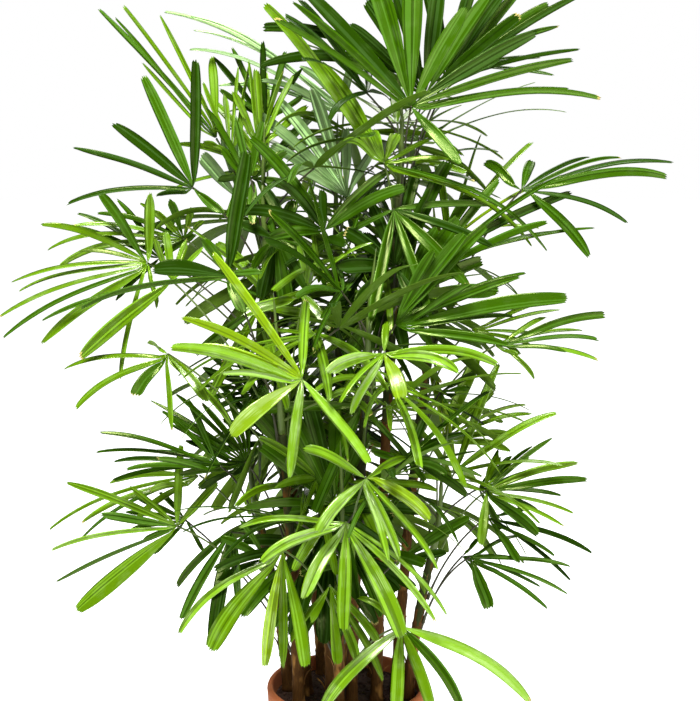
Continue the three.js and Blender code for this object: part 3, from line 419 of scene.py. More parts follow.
class PlacedLeaf(Leaf):
    """A leaf whose blades reach for tips on the sheet. Its middle points the way of all its tips together."""

    def __init__(self, seed, hub, face, droop, tips):
        back, hub = hub[2], on_sheet(*hub)
        self.tips = [
            (on_sheet(x, y, back - out), width, *(bend or (droop,))) for x, y, out, width, *bend in tips
        ]
        super().__init__(seed, hub, sum(((at - hub).normalized() for at, *_ in self.tips), Vector()), face)
        turns = [self.turn_of(at - hub) for at, *_ in self.tips]
        reach = max((at - hub).length for at, *_ in self.tips)
        self.lay_out(math.degrees(max(turns) - min(turns)), len(tips), reach)

    def blade_numbers(self):
        """What each blade is drawn with. Their roots stand towards their tips, with room for each."""
        ways = sorted((self.turn_of(at - self.hub), at, width, bend) for at, width, bend in self.tips)
        turns = [turn for turn, *_ in ways]
        room = 1.15 * BLADE["root_width"] / self.root
        for _ in range(40):
            for j in range(1, len(turns)):
                lack = max(0, room - (turns[j] - turns[j - 1])) / 2
                turns[j - 1] -= lack
                turns[j] += lack
        for turn, (_, at, width, bend) in zip(turns, ways):
            yield self.aimed(turn, at, width, math.radians(bend))

    def aimed(self, turn, at, width, droop):
        """The numbers of the blade that reaches a point in spite of its bend."""
        root, aim = self.hub + self.way_at(turn) * self.root, at.copy()
        for _ in range(5):
            chord = aim - root
            length = chord.length
            start = chord / length + UP * (droop / 3)
            lift = math.atan(start.dot(self.face) / math.hypot(start.dot(self.side), start.dot(self.middle)))
            numbers = turn, self.turn_of(start) - turn, length, width, lift, droop
            aim += at - Blade(self, numbers, BENDS[0]).line[-1][0]
        return numbers


class Blade:
    """A blade's middle line: it sets out from the hub and bends down under its own weight."""

    def __init__(self, leaf, numbers, bend):
        turn, aside, length, width, lift, droop = numbers
        more_aside, more_lift, more_droop = (math.radians(more) for more in bend)
        aside, lift, droop, steps = aside + more_aside, lift + more_lift, droop + more_droop, BLADE["steps"]
        self.leaf, self.length, self.width, self.turn = leaf, length, width, turn
        along = (leaf.way_at(turn + aside) + leaf.face * math.tan(lift)).normalized()
        across = leaf.way_at(turn + aside + math.pi / 2)
        at = leaf.hub + leaf.way_at(turn) * leaf.root
        self.line = []
        for k in range(steps + 1):
            across = (across - along * across.dot(along)).normalized()
            self.line.append((at, along, across))
            at = at + along * (length / steps)
            along = (along + UP * (-2 * droop * (k + 1) / steps**2)).normalized()

    def half(self, share):
        """Half its width at a share of its length: narrow at the hub, widest past the middle, then blunt."""
        swell = math.sin(math.pi * (0.02 + share * 0.77)) ** 0.8
        return BLADE["root_width"] / 2 * (1 - share) + self.width / 2 * swell * min(share * 5, 1)

    def end_corners(self):
        at, along, across = self.line[-1]
        half = self.half(1)
        return at - across * half, at + across * half, at - along.cross(across) * self.leaf.keel

    def strip(self):
        """The blade as a bare strip, for testing what it would touch."""
        corners = []
        for k, (at, _, across) in enumerate(self.line):
            half = self.half(k / BLADE["steps"])
            corners += [at - across * half, at + across * half]
        return corners, [(2 * k, 2 * k + 2, 2 * k + 3, 2 * k + 1) for k in range(BLADE["steps"])]


class Stalk:
    """A stalk's bent path from its foot to the hub of its leaf."""

    def __init__(self, foot, bend, leaf):
        self.foot, self.bend, self.end = foot, bend, leaf.hub - leaf.face * HUB_ABOVE

    def at(self, share):
        return bent(self.foot, self.bend, self.end, share)

    def corners(self, first):
        """The corners of the solid stalk's rings, from a ring on up to the last but one."""
        path = [self.at(k / STALK["steps"]) for k in range(STALK["steps"] + 1)]
        rings = rings_of(path, [STALK["radius"]] * len(path), STALK["sides"])
        return [corner for ring in rings[first:-1] for corner in ring]


def placed_stalks(leaf, cane):
    """Every way that a placed leaf's stalk may have taken, from each seat beside its cane."""
    reach = math.hypot(leaf.hub.x - cane.tip.x, leaf.hub.y - cane.tip.y)
    for aside, lower in SWINGS:
        wanted = min(leaf.hub.z - STALK["drop"] - 0.5 * reach - lower, cane.tip.z - STALK["below_tip"])
        share = (wanted - cane.foot.z) / (cane.tip.z - cane.foot.z)
        share = min(max(share, STALK["lowest"]), STALK["highest"])
        axis = cane.at(share)
        out = ((leaf.hub - axis) * Vector((1, 1, 0))).normalized()
        bend = axis.lerp(leaf.hub, 0.42)
        bend.z = lerp(axis.z, leaf.hub.z, 0.62) + 12
        bend += out.cross(UP) * aside
        for step in range(STALK["seats"]):
            yield Stalk(axis + out * (CANE["tip"] + (step + 0.5) * GAP), bend, leaf)


def crown_heading(degrees):
    """The way that a crown's leaf heads: a full turn of the cane is pressed together towards the back."""
    from_middle = (degrees - CROWN["middle"] + 180) % 360 - 180
    return heading_of(CROWN["middle"] + CROWN["round"] * from_middle)


def crown_leaf(cane, number, turn, reach):
    """A crown's leaf: the young ones stand up near the tip, and the old ones reach out and hang down."""
    draws = Draws(CROWN, cane.seed + 31 * number, (number + 1) / cane.leaves)
    heading = crown_heading(cane.first + GOLDEN_ANGLE * number + turn)
    foot = cane.shaft_at(lerp(0.85, 0.15, draws.age))
    climb = draws.angle("climb", 8)
    stalk = draws.aged("stalk") * wobble(draws.roll, 0.2) * reach
    hub = foot + (heading * math.cos(climb) + UP * math.sin(climb)) * stalk
    bend = foot.lerp(hub, 0.45) + UP * 0.12 * stalk
    tilt = draws.angle("tilt", 16)
    middle = heading * math.cos(tilt) + UP * math.sin(tilt)
    face = UP * math.cos(tilt) - heading * math.sin(tilt)
    face += heading.cross(UP) * math.tan(math.radians(50 * (draws.roll() - 0.5)))
    return draws.leaf(foot, bend, hub, middle, face)


def is_within(at, room):
    """Whether a point is inside a share of the plant's outline."""
    for (low, low_out), (high, high_out) in zip(OUTLINE, OUTLINE[1:]):
        if low <= at.z < high:
            outline = lerp(low_out, high_out, (at.z - low) / (high - low))
            return math.hypot(at.x / OUTLINE_SIDE, at.y) < room * outline
    return False


# ---------------------------------------------------------------- finding the solids' own growth again


class Corners:
    """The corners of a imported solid, in millimetres."""

    def __init__(self, node):
        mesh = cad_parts[node].data
        self.tree = KDTree(len(mesh.vertices))
        for vertex in mesh.vertices:
            self.tree.insert(vertex.co / MM, vertex.index)
        self.tree.balance()

    def misfit(self, corners):
        """How far the worst of some corners is from the solid's nearest one."""
        return max(self.tree.find(corner)[2] for corner in corners)


def blades_of(leaf, solid):
    """The blades that the solid has of a leaf, each with the bend that it took."""
    blades = []
    for numbers in leaf.blade_numbers():
        ways = (Blade(leaf, numbers, bend) for bend in BENDS)
        found = next((blade for blade in ways if solid.misfit(blade.end_corners()) < SAME_CORNER), None)
        if found:
            blades.append(found)
    return blades


# A leaf that is grown: the node that it belongs to, the leaf, its stalk, its blades and its tint.
Growth = namedtuple("Growth", "node leaf stalk blades tint")

# The tints that are dealt out in turn to the crowns' leaves and to the inner ones; the inner ones get mostly
# dark and deep, painted shade inside the crown.
CROWN_TINTS = ("mid", "deep", "bright", "deep", "mid", "dark")
INNER_TINTS = ("dark", "deep", "dark", "mid")


@functools.cache
def canes():
    return {name: Cane(name, number, **spec) for number, (name, spec) in enumerate(CANES.items())}


@functools.cache
def placed_leaves():
    grown = []
    for number, (name, (cane, tint, *spec)) in enumerate(LEAVES.items()):
        node_name = f"leaf_{name}"
        solid, leaf = Corners(node_name), PlacedLeaf(PLACED_SEED + 7 * number, *spec)
        stalk = min(placed_stalks(leaf, canes()[cane]), key=lambda way: solid.misfit(way.corners(0)))
        if solid.misfit(stalk.corners(0)) > SAME_CORNER:
            raise RuntimeError(f"the stalk of {node_name} isn't where the growth rule puts it")
        grown.append(Growth(node_name, leaf, stalk, blades_of(leaf, solid), tint))
    return grown


@functools.cache
def crown_leaves():
    """The crowns' leaves. One that found no room in the solid is left out."""
    grown = []
    for cane in canes().values():
        node_name = f"crown_{cane.name}"
        solid = Corners(node_name)
        for number in range(cane.leaves):
            ways = (crown_leaf(cane, number, *turn) for turn in TURNS)
            found = next((way for way in ways if solid.misfit(way[1].corners(1)) < SAME_CORNER), None)
            if found:
                tint = CROWN_TINTS[(number + cane.seed) % len(CROWN_TINTS)]
                grown.append(Growth(node_name, *found, blades_of(found[0], solid), tint))
    return grown


# ---------------------------------------------------------------- leaves that only show, inside the crown

# Leaves that fill the crown behind the outer ones, laid out on the sheet as those are.
# Most of these have the deep and dark tints, painted shade inside the crown.
FILLING = dict(
    highLeft=("left", "mid", (259, 148, 40), (0.1, -0.9, 0.3), 6, (
        (234, 92, 0, 17), (249, 62, 0, 9), (257, 70, 10, 18), (283, 72, 0, 11), (293, 75, -10, 13),
        (313, 103, -20, 16), (243, 118, 10, 15))),
    paleLeft=("left", "pale", (240, 200, 90), (0.2, -0.8, 0.5), 8, (
        (198, 157, 0, 28), (223, 133, 0, 22), (237, 117, -10, 18), (252, 150, -20, 18))),
    darkLeft=("left", "deep", (276, 238, 10), (0, -0.8, 0.6), 20, (
        (253, 268, 40, 20), (262, 300, 50, 32), (286, 306, 50, 34), (304, 288, 40, 26), (240, 224, 0, 22),
        (258, 196, -30, 26), (296, 200, -30, 26), (318, 262, 20, 20))),
    limeLeft=("near", "bright", (304, 292, -80), (0, -0.6, 0.8), 26, (
        (242, 317, 40, 24), (298, 246, -10, 16), (322, 276, 40, 22, 60), (372, 243, 0, 9, 40),
        (330, 330, 60, 20))),
    darkCentre=("middle", "dark", (392, 292, 20), (0, -0.8, 0.6), 18, (
        (331, 338, 30, 38), (350, 354, 40, 38), (371, 354, 50, 34), (334, 303, 20, 34), (404, 350, 50, 26),
        (345, 262, -10, 34), (365, 232, -30, 36))),
    darkRight=("middle", "deep", (400, 300, -60), (-0.2, -0.8, 0.5), 14, (
        (436, 228, -20, 28), (459, 219, -10, 28), (478, 247, 10, 26), (498, 288, 30, 30), (455, 300, 40, 22),
        (430, 345, 50, 18), (415, 222, -30, 26))),
    darkLow=("inner", "deep", (334, 504, -120), (-0.1, -0.9, 0.4), 14, (
        (247, 497, 30, 18), (262, 446, 0, 28), (248, 404, -20, 34), (277, 392, -30, 38), (306, 396, -40, 38),
        (336, 408, -40, 36), (366, 432, -30, 32), (398, 470, -10, 26))),
    darkUnder=("inner", "dark", (352, 560, -80), (0.1, -0.9, 0.4), 16, (
        (290, 520, -10, 24), (318, 500, -20, 28), (360, 495, -20, 28), (392, 512, -10, 26),
        (300, 574, 40, 22), (398, 590, 40, 22))),
    lowRight=("front", "dark", (398, 560, -130), (0.1, -0.8, 0.5), 12, (
        (470, 517, -10, 24), (446, 552, 20, 18))),
    lowLeft=("front", "deep", (268, 558, -80), (-0.1, -0.7, 0.7), 26, (
        (221, 538, -10, 18), (218, 581, 20, 15), (199, 606, 20, 13), (240, 520, -20, 14))),
    besideRight=("right", "deep", (440, 392, -40), (0.1, -0.8, 0.6), 18, (
        (458, 428, 40, 14), (455, 396, 20, 11), (470, 388, 10, 14), (478, 372, -10, 14))),
    midLeft=("near", "deep", (246, 462, -20), (-0.2, -0.8, 0.5), 10, (
        (176, 394, 0, 12), (163, 411, 10, 12), (172, 424, 10, 12), (186, 440, 20, 14), (150, 396, -10, 11),
        (196, 402, -10, 14), (212, 386, -20, 15), (228, 392, -20, 16), (160, 461, 30, 14), (180, 474, 40, 15),
        (200, 488, 40, 16), (246, 392, -20, 18))),
    midLeftRear=("near", "dark", (272, 440, 20), (-0.1, -0.8, 0.5), 10, (
        (205, 366, 0, 14), (222, 360, 0, 16), (240, 358, -10, 18), (258, 368, -10, 18), (280, 372, -10, 20),
        (222, 420, 20, 16), (216, 452, 30, 16), (232, 476, 40, 18))),
    darkHigh=("left", "deep", (250, 178, 30), (-0.1, -0.8, 0.5), 12, (
        (208, 108, 0, 14), (222, 150, 0, 18), (218, 180, 20, 16), (228, 218, 30, 18), (252, 224, 40, 20),
        (282, 216, 40, 22), (298, 190, 20, 20), (286, 152, -10, 20), (262, 122, -10, 18),
        (236, 120, -10, 16))),
    darkTop=("tall", "dark", (425, 95, 50), (0, -0.9, 0.4), 12, (
        (350, 26, 0, 24), (366, 2, -10, 22), (394, -20, -20, 28), (440, -20, -20, 32), (488, -4, -10, 28),
        (520, 16, 0, 24), (500, 60, 10, 18), (350, 60, 10, 20))),
    besideTop=("tall", "deep", (458, 66, 120), (-0.1, -0.8, 0.5), 14, (
        (492, -18, -20, 22), (524, -14, -10, 20), (548, 4, 0, 18), (558, 26, 10, 14), (470, -20, -20, 22),
        (540, 58, 20, 12), (552, 76, 30, 11))),
    darkReach=("left", "deep", (160, 258, 60), (-0.2, -0.8, 0.6), 24, (
        (62, 224, 10, 11), (78, 214, 0, 12), (118, 200, -10, 13), (116, 300, 30, 14), (176, 214, -10, 16),
        (196, 234, 0, 18))),
    peakLeft=("left", "mid", (232, 152, 50), (0.1, -0.9, 0.3), 8, (
        (203, 84, 0, 12), (225, 94, 0, 14), (238, 68, 0, 10), (213, 116, 10, 14), (244, 100, 0, 14),
        (250, 64, 0, 8), (204, 142, 20, 14))),
    tuftRight=("right", "deep", (478, 488, 10), (-0.1, -0.7, 0.7), 22, (
        (498, 450, -10, 12), (512, 456, 0, 14), (532, 446, 0, 10), (545, 470, 10, 12), (560, 496, 20, 12),
        (540, 512, 30, 12), (524, 528, 30, 14), (500, 530, 30, 16))),
    underRight=("rightLow", "deep", (462, 556, 20), (-0.1, -0.7, 0.7), 20, (
        (478, 538, -10, 12), (520, 560, 0, 12), (500, 574, 20, 12), (540, 586, 20, 10), (488, 590, 30, 14))),
    flatRight=("right", "mid", (470, 330, 40), (-0.1, -0.6, 0.8), 18, (
        (548, 300, -10, 12), (560, 316, 0, 10), (540, 331, 10, 10), (530, 345, 20, 12), (520, 354, 30, 12))),
    hazeHigh=("left", "deep", (266, 122, 90), (0, -0.9, 0.4), 8, (
        (214, 58, 0, 14), (232, 48, 0, 14), (262, 42, 0, 15), (286, 52, 0, 15), (302, 68, 0, 14),
        (222, 88, 10, 14), (304, 96, 10, 14))),
    fanLow=("near", "deep", (186, 520, 60), (-0.2, -0.8, 0.5), 12, (
        (136, 498, 0, 14), (126, 512, 10, 14), (132, 528, 20, 14), (142, 542, 20, 14), (154, 554, 30, 14),
        (160, 492, -10, 14), (204, 552, 20, 12))),
    midUnder=("near", "dark", (256, 392, 40), (-0.1, -0.8, 0.5), 12, (
        (206, 352, 0, 14), (204, 368, 10, 14), (198, 382, 10, 14), (208, 396, 20, 14), (216, 408, 20, 14),
        (232, 350, -10, 16), (246, 346, -10, 16))),
)

# The inner leaves of a cane, from its top one down: the stalk's length and climb, how far the upper side is
# turned up from facing outwards and may spin, the spread and how much it differs, the number of blades,
# their length, droop and width. The leaves stand a spacing apart down to the lowest height, inside a share
# of the outline, and leave bare what is further right than the first number, between two heights. Each
# tries so many turns and bends, is good enough with a full share of its blades, and is left out below the
# least share.
INNER = dict(stalk=(50, 110), climb=(50, 10), face=(15, 45), spin=100, spread=(180, 240), uneven=0.12,
             blades=(6.6, 8.4), length=(180, 200), droop=(10, 26), width=36, spacing=80, lowest=520,
             room=0.72, bare=(40, 440, 880), turns=40, bends=9, full=0.85, least=0.5)


def inner_leaf(cane, number, count, turn, reach):
    """A leaf on the upper half of a cane, grown as a crown's leaf is."""
    draws = Draws(INNER, cane.seed + SEEDS["inner"] + 31 * number, (number + 0.5) / count)
    lowest = (INNER["lowest"] - cane.foot.z) / (cane.tip.z - cane.foot.z)
    share = lerp(0.98, lowest, draws.age)
    heading = heading_of(cane.first + 60 + GOLDEN_ANGLE * number + turn)
    foot = cane.at(share) + heading * (cane.radius(share) - 1)
    climb = draws.angle("climb", 10)
    stalk = draws.aged("stalk") * wobble(draws.roll, 0.25) * reach
    hub = foot + (heading * math.cos(climb) + UP * math.sin(climb)) * stalk
    bend = foot.lerp(hub, 0.4) + UP * 0.14 * stalk
    turned_up = draws.angle("face", 24)
    face = heading * math.cos(turned_up) + UP * math.sin(turned_up)
    down = heading * math.sin(turned_up) - UP * math.cos(turned_up)
    spin = math.radians(INNER["spin"] * (2 * draws.roll() - 1))
    middle = down * math.cos(spin) + face.cross(down) * math.sin(spin)
    return draws.leaf(foot, bend, hub, middle, face)


class Strips:
    """The bare strips of all blades so far, to keep new ones from cutting through them."""

    def __init__(self):
        self.trees = []

    @staticmethod
    def of(blade):
        """A blade's strip as a search tree, with the lowest and the highest corner of its box."""
        corners, faces = blade.strip()
        return BVHTree.FromPolygons(corners, faces), Vector(map(min, *corners)), Vector(map(max, *corners))

    def add(self, blades):
        self.trees += [self.of(blade) for blade in blades]

    def is_free(self, blade):
        tree, low, high = self.of(blade)
        for other, other_low, other_high in self.trees:
            apart = any(high[i] < other_low[i] or other_high[i] < low[i] for i in range(3))
            if not apart and tree.overlap(other):
                return False
        return True


def free_blades(leaf, strips, bends, keep=False):
    """The blades of a leaf, each with the first bend that cuts through nothing. A blade that has none is left
    out, or keeps its own bend."""
    blades = []
    for numbers in leaf.blade_numbers():
        ways = (Blade(leaf, numbers, bend) for bend in bends)
        own = Blade(leaf, numbers, bends[0]) if keep else None
        blades.append(next((way for way in ways if strips.is_free(way)), own))
    return [blade for blade in blades if blade]


def is_bare(leaf, tip):
    """Whether a leaf would stand where the plant shows no inner leaves."""
    side, low, high = INNER["bare"]
    return not is_within(tip, INNER["room"]) or (max(leaf.hub.x, tip.x) > side and low < tip.z < high)


def best_inner_leaf(cane, number, count, strips):
    """The share of its blades that an inner leaf keeps where it finds the most room, with the leaf, its stalk
    and those blades."""
    best = (0, None, None, [])
    for turn in TURNS[: INNER["turns"]]:
        leaf, stalk = inner_leaf(cane, number, count, *turn)
        if is_bare(leaf, leaf.hub + leaf.middle * 0.9 * leaf.length):
            continue
        blades = free_blades(leaf, strips, BENDS[: INNER["bends"]])
        share = len(blades) / leaf.blades
        if share > best[0]:
            best = share, leaf, stalk, blades
        if share > INNER["full"]:
            break
    return best


@functools.cache
def inner_leaves():
    """The filling leaves and then the inner ones, each cane's from the top down."""
    strips, inner = Strips(), []
    for grown in placed_leaves() + crown_leaves():
        strips.add(grown.blades)
    for number, (cane, tint, *spec) in enumerate(FILLING.values()):
        leaf = PlacedLeaf(FILLING_SEED + 7 * number, *spec)
        blades = free_blades(leaf, strips, BENDS, keep=True)
        strips.add(blades)
        inner.append(Growth(f"crown_{cane}", leaf, next(placed_stalks(leaf, canes()[cane])), blades, tint))
    for cane in canes().values():
        count = max(1, round((cane.tip.z - INNER["lowest"]) / INNER["spacing"]))
        for number in range(count):
            share, leaf, stalk, blades = best_inner_leaf(cane, number, count, strips)
            if share >= INNER["least"]:
                strips.add(blades)
                tint = INNER_TINTS[(number + cane.seed) % len(INNER_TINTS)]
                inner.append(Growth(f"crown_{cane.name}", leaf, stalk, blades, tint))
    return inner


# ---------------------------------------------------------------- making meshes


class Skin:
    """Gathers the faces of one piece in millimetres, each with its material, and makes the piece."""

    def __init__(self, name):
        self.name, self.count, self.materials = name, 0, []
        self.points, self.places, self.loops, self.sizes, self.slots, self.flat = [], [], [], [], [], []

    def slot_of(self, material):
        if material not in self.materials:
            self.materials.append(material)
        return self.materials.index(material)

    def add_points(self, points, places=None):
        """Adds points, with their places on the blade, and tells the number of the first."""
        start, points = self.count, np.asarray(points, float).reshape(-1, 3)
        self.points.append(points)
        self.places.append(np.zeros((len(points), 2)) if places is None else places)
        self.count += len(points)
        return start

    def add_faces(self, start, faces, slots, flat=False):
        """Adds faces on the points from a number on. They have one slot together or one each."""
        faces = np.asarray(faces, int)
        self.loops.append((faces + start).ravel())
        self.sizes.append(np.full(len(faces), faces.shape[1]))
        self.slots.append(np.broadcast_to(np.asarray(slots, int), len(faces)))
        self.flat.append(np.full(len(faces), flat))

    def make(self, slot, *nodes):
        points, loops = np.concatenate(self.points) * MM, np.concatenate(self.loops)
        sizes, mesh = np.concatenate(self.sizes), bpy.data.meshes.new(self.name)
        mesh.vertices.add(len(points))
        mesh.vertices.foreach_set("co", points.ravel().astype(np.float32))
        mesh.loops.add(len(loops))
        mesh.loops.foreach_set("vertex_index", loops.astype(np.int32))
        mesh.polygons.add(len(sizes))
        mesh.polygons.foreach_set("loop_start", (np.cumsum(sizes) - sizes).astype(np.int32))
        mesh.polygons.foreach_set("material_index", np.concatenate(self.slots).astype(np.int32))
        sharp = mesh.attributes.new("sharp_face", "BOOLEAN", "FACE")
        sharp.data.foreach_set("value", np.concatenate(self.flat))
        places = np.concatenate(self.places)[loops] * MM
        mesh.uv_layers.new(name=PLACE_MAP).data.foreach_set("uv", places.ravel().astype(np.float32))
        mesh.update(calc_edges=True)
        for material in self.materials:
            mesh.materials.append(material)
        piece = bpy.data.objects.new(self.name, mesh)
        bpy.context.scene.collection.objects.link(piece)
        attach(piece, BODY)
        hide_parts(*nodes)
        return piece


def grid(rows, columns, closed=False):
    """The faces of a grid of points, row by row. A closed grid joins its last column to its first."""
    across = columns if closed else columns - 1
    i, j = np.meshgrid(np.arange(rows - 1), np.arange(across), indexing="ij")
    i, j, k = i.ravel(), j.ravel(), (j.ravel() + 1) % columns
    return np.stack([i * columns + j, (i + 1) * columns + j, (i + 1) * columns + k, i * columns + k], 1)


def rim_of(rows, columns, under):
    """The faces that join the edge of a grid to that of its copy, which lies under it."""
    i, j = np.arange(rows - 1), np.arange(columns - 1)
    right, left = i * columns, i * columns + columns - 1
    root, tip = j, (rows - 1) * columns + j
    return np.concatenate([
        np.stack([right, right + under, right + columns + under, right + columns], 1),
        np.stack([left + columns, left + columns + under, left + under, left], 1),
        np.stack([root + 1, root + 1 + under, root + under, root], 1),
        np.stack([tip, tip + under, tip + 1 + under, tip + 1], 1),
    ])


def sheet_shell(skin, top, faces_up, thickness, upper, lower, places):
    """A thin closed shell: a grid of points, its copy under it, and the narrow rim between them."""
    rows, columns = top.shape[:2]
    under = rows * columns
    points = np.concatenate([top.reshape(-1, 3), (top - faces_up * thickness).reshape(-1, 3)])
    faces = grid(rows, columns)
    start = skin.add_points(points, np.tile(places.reshape(-1, 2), (2, 1)))
    skin.add_faces(start, faces, upper)
    skin.add_faces(start, faces[:, ::-1] + under, lower)
    skin.add_faces(start, rim_of(rows, columns, under), lower[0], flat=True)


def drum(skin, rings, slots, end_slot, ends=None):
    """A closed round skin over rings of points, with a fan of faces over each end, about the ring's middle or
    the end point that is given."""
    rings = np.asarray(rings, float)
    count, sides = rings.shape[:2]
    start = skin.add_points(rings)
    foot_point = skin.add_points(ends or [rings[0].mean(0), rings[-1].mean(0)])
    i = np.arange(sides)
    j = (i + 1) % sides
    last = start + (count - 1) * sides
    foot = np.stack([np.full(sides, foot_point), start + j, start + i], 1)
    tip = np.stack([np.full(sides, foot_point + 1), last + i, last + j], 1)
    skin.add_faces(start, grid(count, sides, closed=True)[:, ::-1], slots)
    skin.add_faces(0, np.concatenate([foot, tip]), end_slot)


def ripple(seed, u, v, waves=6):
    """A smooth, repeatable wander between about -1 and 1 over two numbers."""
    roll = dice(seed)
    total = 0
    for _ in range(waves):
        total = total + np.sin((2 * roll() - 1) * 2 * u + (2 * roll() - 1) * 2 * v + 2 * math.pi * roll())
    return total / math.sqrt(waves) / 1.4


# ---------------------------------------------------------------- materials

PLACE_MAP = "blade_place"
WAVE_PERIOD = 2 * math.pi / 20  # the spacing of a wave texture's bands at scale 1

# The finish of each tint's upper side, from light to dark: how strongly it gleams, the gleam's colour, and the
# share of pale painted sheen that shows where that sheen is thickest; lime, bright and pale carry the most.
PALE_GLEAM, GREEN_GLEAM = (0.95, 1, 0.75), (0.85, 1, 0.35)
WAX = dict(
    lime=(0.5, PALE_GLEAM, 0.28),
    bright=(0.6, PALE_GLEAM, 0.28),
    mid=(0.4, GREEN_GLEAM, 0.1),
    deep=(0.25, GREEN_GLEAM, 0.04),
    dark=(0.12, GREEN_GLEAM, 0.02),
    pale=(0.35, PALE_GLEAM, 0.28),
)
UNDERSIDE_WAX = (0.2, GREEN_GLEAM, 0.1)
DRY_WAX = (0.5, GREEN_GLEAM, 0.1)
# The pale colour of the painted sheen, a highlight streaked over the leaves' green.
PAINTED_SHEEN = "#C2DC96"


def node(tree, kind, inputs=None, **settings):
    """Adds a node, and sets its settings and its inputs, each to a value or to another node's output."""
    made = tree.nodes.new(kind)
    for name, value in settings.items():
        setattr(made, name, value)
    for name, value in (inputs or {}).items():
        if isinstance(value, bpy.types.NodeSocket):
            tree.links.new(value, made.inputs[name])
        else:
            made.inputs[name].default_value = value
    return made


def blank(name):
    """A new material with nothing in it, and its node tree."""
    material = bpy.data.materials.new(name)
    material.use_nodes = True
    material.node_tree.nodes.clear()
    return material, material.node_tree


def fired_terracotta(settings):
    """Low-fired, unglazed earthenware, thrown: the eye sees matt orange clay with grit and pale salts.

    The salt's clouds are 45 mm wide. Real grit is about 0.8 mm. It is drawn 2.5 mm wide, so that it shows."""
    material, tree = blank("fired_terracotta")
    place = node(tree, "ShaderNodeTexCoord").outputs["Object"]
    clouds = node(tree, "ShaderNodeTexNoise", {"Vector": place, "Scale": 1 / (45 * MM), "Detail": 5})
    grit = node(tree, "ShaderNodeTexNoise", {"Vector": place, "Scale": 1 / (2.5 * MM), "Detail": 3})
    salts = node(tree, "ShaderNodeMapRange", {
        "Value": clouds.outputs["Fac"], "From Min": 0.5, "From Max": 0.85,
    })
    clay = node(tree, "ShaderNodeMix", {
        "Factor": salts.outputs["Result"], "A": (*settings.clay, 1), "B": (*settings.salts, 1),
    }, data_type="RGBA")
    bump = node(tree, "ShaderNodeBump", {
        "Height": grit.outputs["Fac"], "Strength": 0.35, "Distance": 0.6 * MM,
    })
    shader = node(tree, "ShaderNodeBsdfPrincipled", {
        "Base Color": clay.outputs["Result"], "Roughness": 0.88, "Normal": bump.outputs["Normal"],
    })
    node(tree, "ShaderNodeOutputMaterial", {"Surface": shader.outputs["BSDF"]})
    return material


def moist_peat(settings):
    """Moist peat compost: the eye sees nearly black brown crumbs of 6 mm, matt with a few damp glints."""
    material, tree = blank("moist_peat")
    place = node(tree, "ShaderNodeTexCoord").outputs["Object"]
    crumbs = node(tree, "ShaderNodeTexNoise", {"Vector": place, "Scale": 1 / (6 * MM), "Detail": 6})
    tone = node(tree, "ShaderNodeMix", {
        "Factor": crumbs.outputs["Fac"], "A": (*settings.peat, 1), "B": (*settings.fibre, 1),
    }, data_type="RGBA")
    bump = node(tree, "ShaderNodeBump", {
        "Height": crumbs.outputs["Fac"], "Strength": 0.8, "Distance": 3 * MM,
    })
    shader = node(tree, "ShaderNodeBsdfPrincipled", {
        "Base Color": tone.outputs["Result"], "Roughness": 0.9, "Normal": bump.outputs["Normal"],
    })
    node(tree, "ShaderNodeOutputMaterial", {"Surface": shader.outputs["BSDF"]})
    return material


def palm_fibre(name, dark, light, straw):
    """Coarse dry fibre of old leaf sheaths, wound on the cane: the eye sees brown strands and some straw.

    Real strands are about 0.4 mm apart. They are drawn 2 mm apart, so that they show, and 14 times as long.
    The weathered patches are 18 mm wide and 3 times as long."""
    material, tree = blank(name)
    place = node(tree, "ShaderNodeTexCoord").outputs["Object"]
    fine, broad = (
        node(tree, "ShaderNodeMapping", {"Vector": place, "Scale": (1 / width, 1 / width, 1 / length)})
        for width, length in ((2 * MM, 28 * MM), (18 * MM, 54 * MM))
    )
    strands = node(tree, "ShaderNodeTexNoise", {"Vector": fine.outputs["Vector"], "Scale": 1, "Detail": 4})
    patches = node(tree, "ShaderNodeTexNoise", {"Vector": broad.outputs["Vector"], "Scale": 1, "Detail": 2})
    brown = node(tree, "ShaderNodeMix", {
        "Factor": strands.outputs["Fac"], "A": (*dark, 1), "B": (*light, 1),
    }, data_type="RGBA")
    weather = node(tree, "ShaderNodeMapRange", {
        "Value": patches.outputs["Fac"], "From Min": 0.55, "From Max": 0.72,
    })
    tone = node(tree, "ShaderNodeMix", {
        "Factor": weather.outputs["Result"], "A": brown.outputs["Result"], "B": (*straw, 1),
    }, data_type="RGBA")
    bump = node(tree, "ShaderNodeBump", {
        "Height": strands.outputs["Fac"], "Strength": 0.7, "Distance": 1.2 * MM,
    })
    shader = node(tree, "ShaderNodeBsdfPrincipled", {
        "Base Color": tone.outputs["Result"], "Roughness": 0.82, "Specular IOR Level": 0.2,
        "Normal": bump.outputs["Normal"],
    })
    node(tree, "ShaderNodeOutputMaterial", {"Surface": shader.outputs["BSDF"]})
    return material


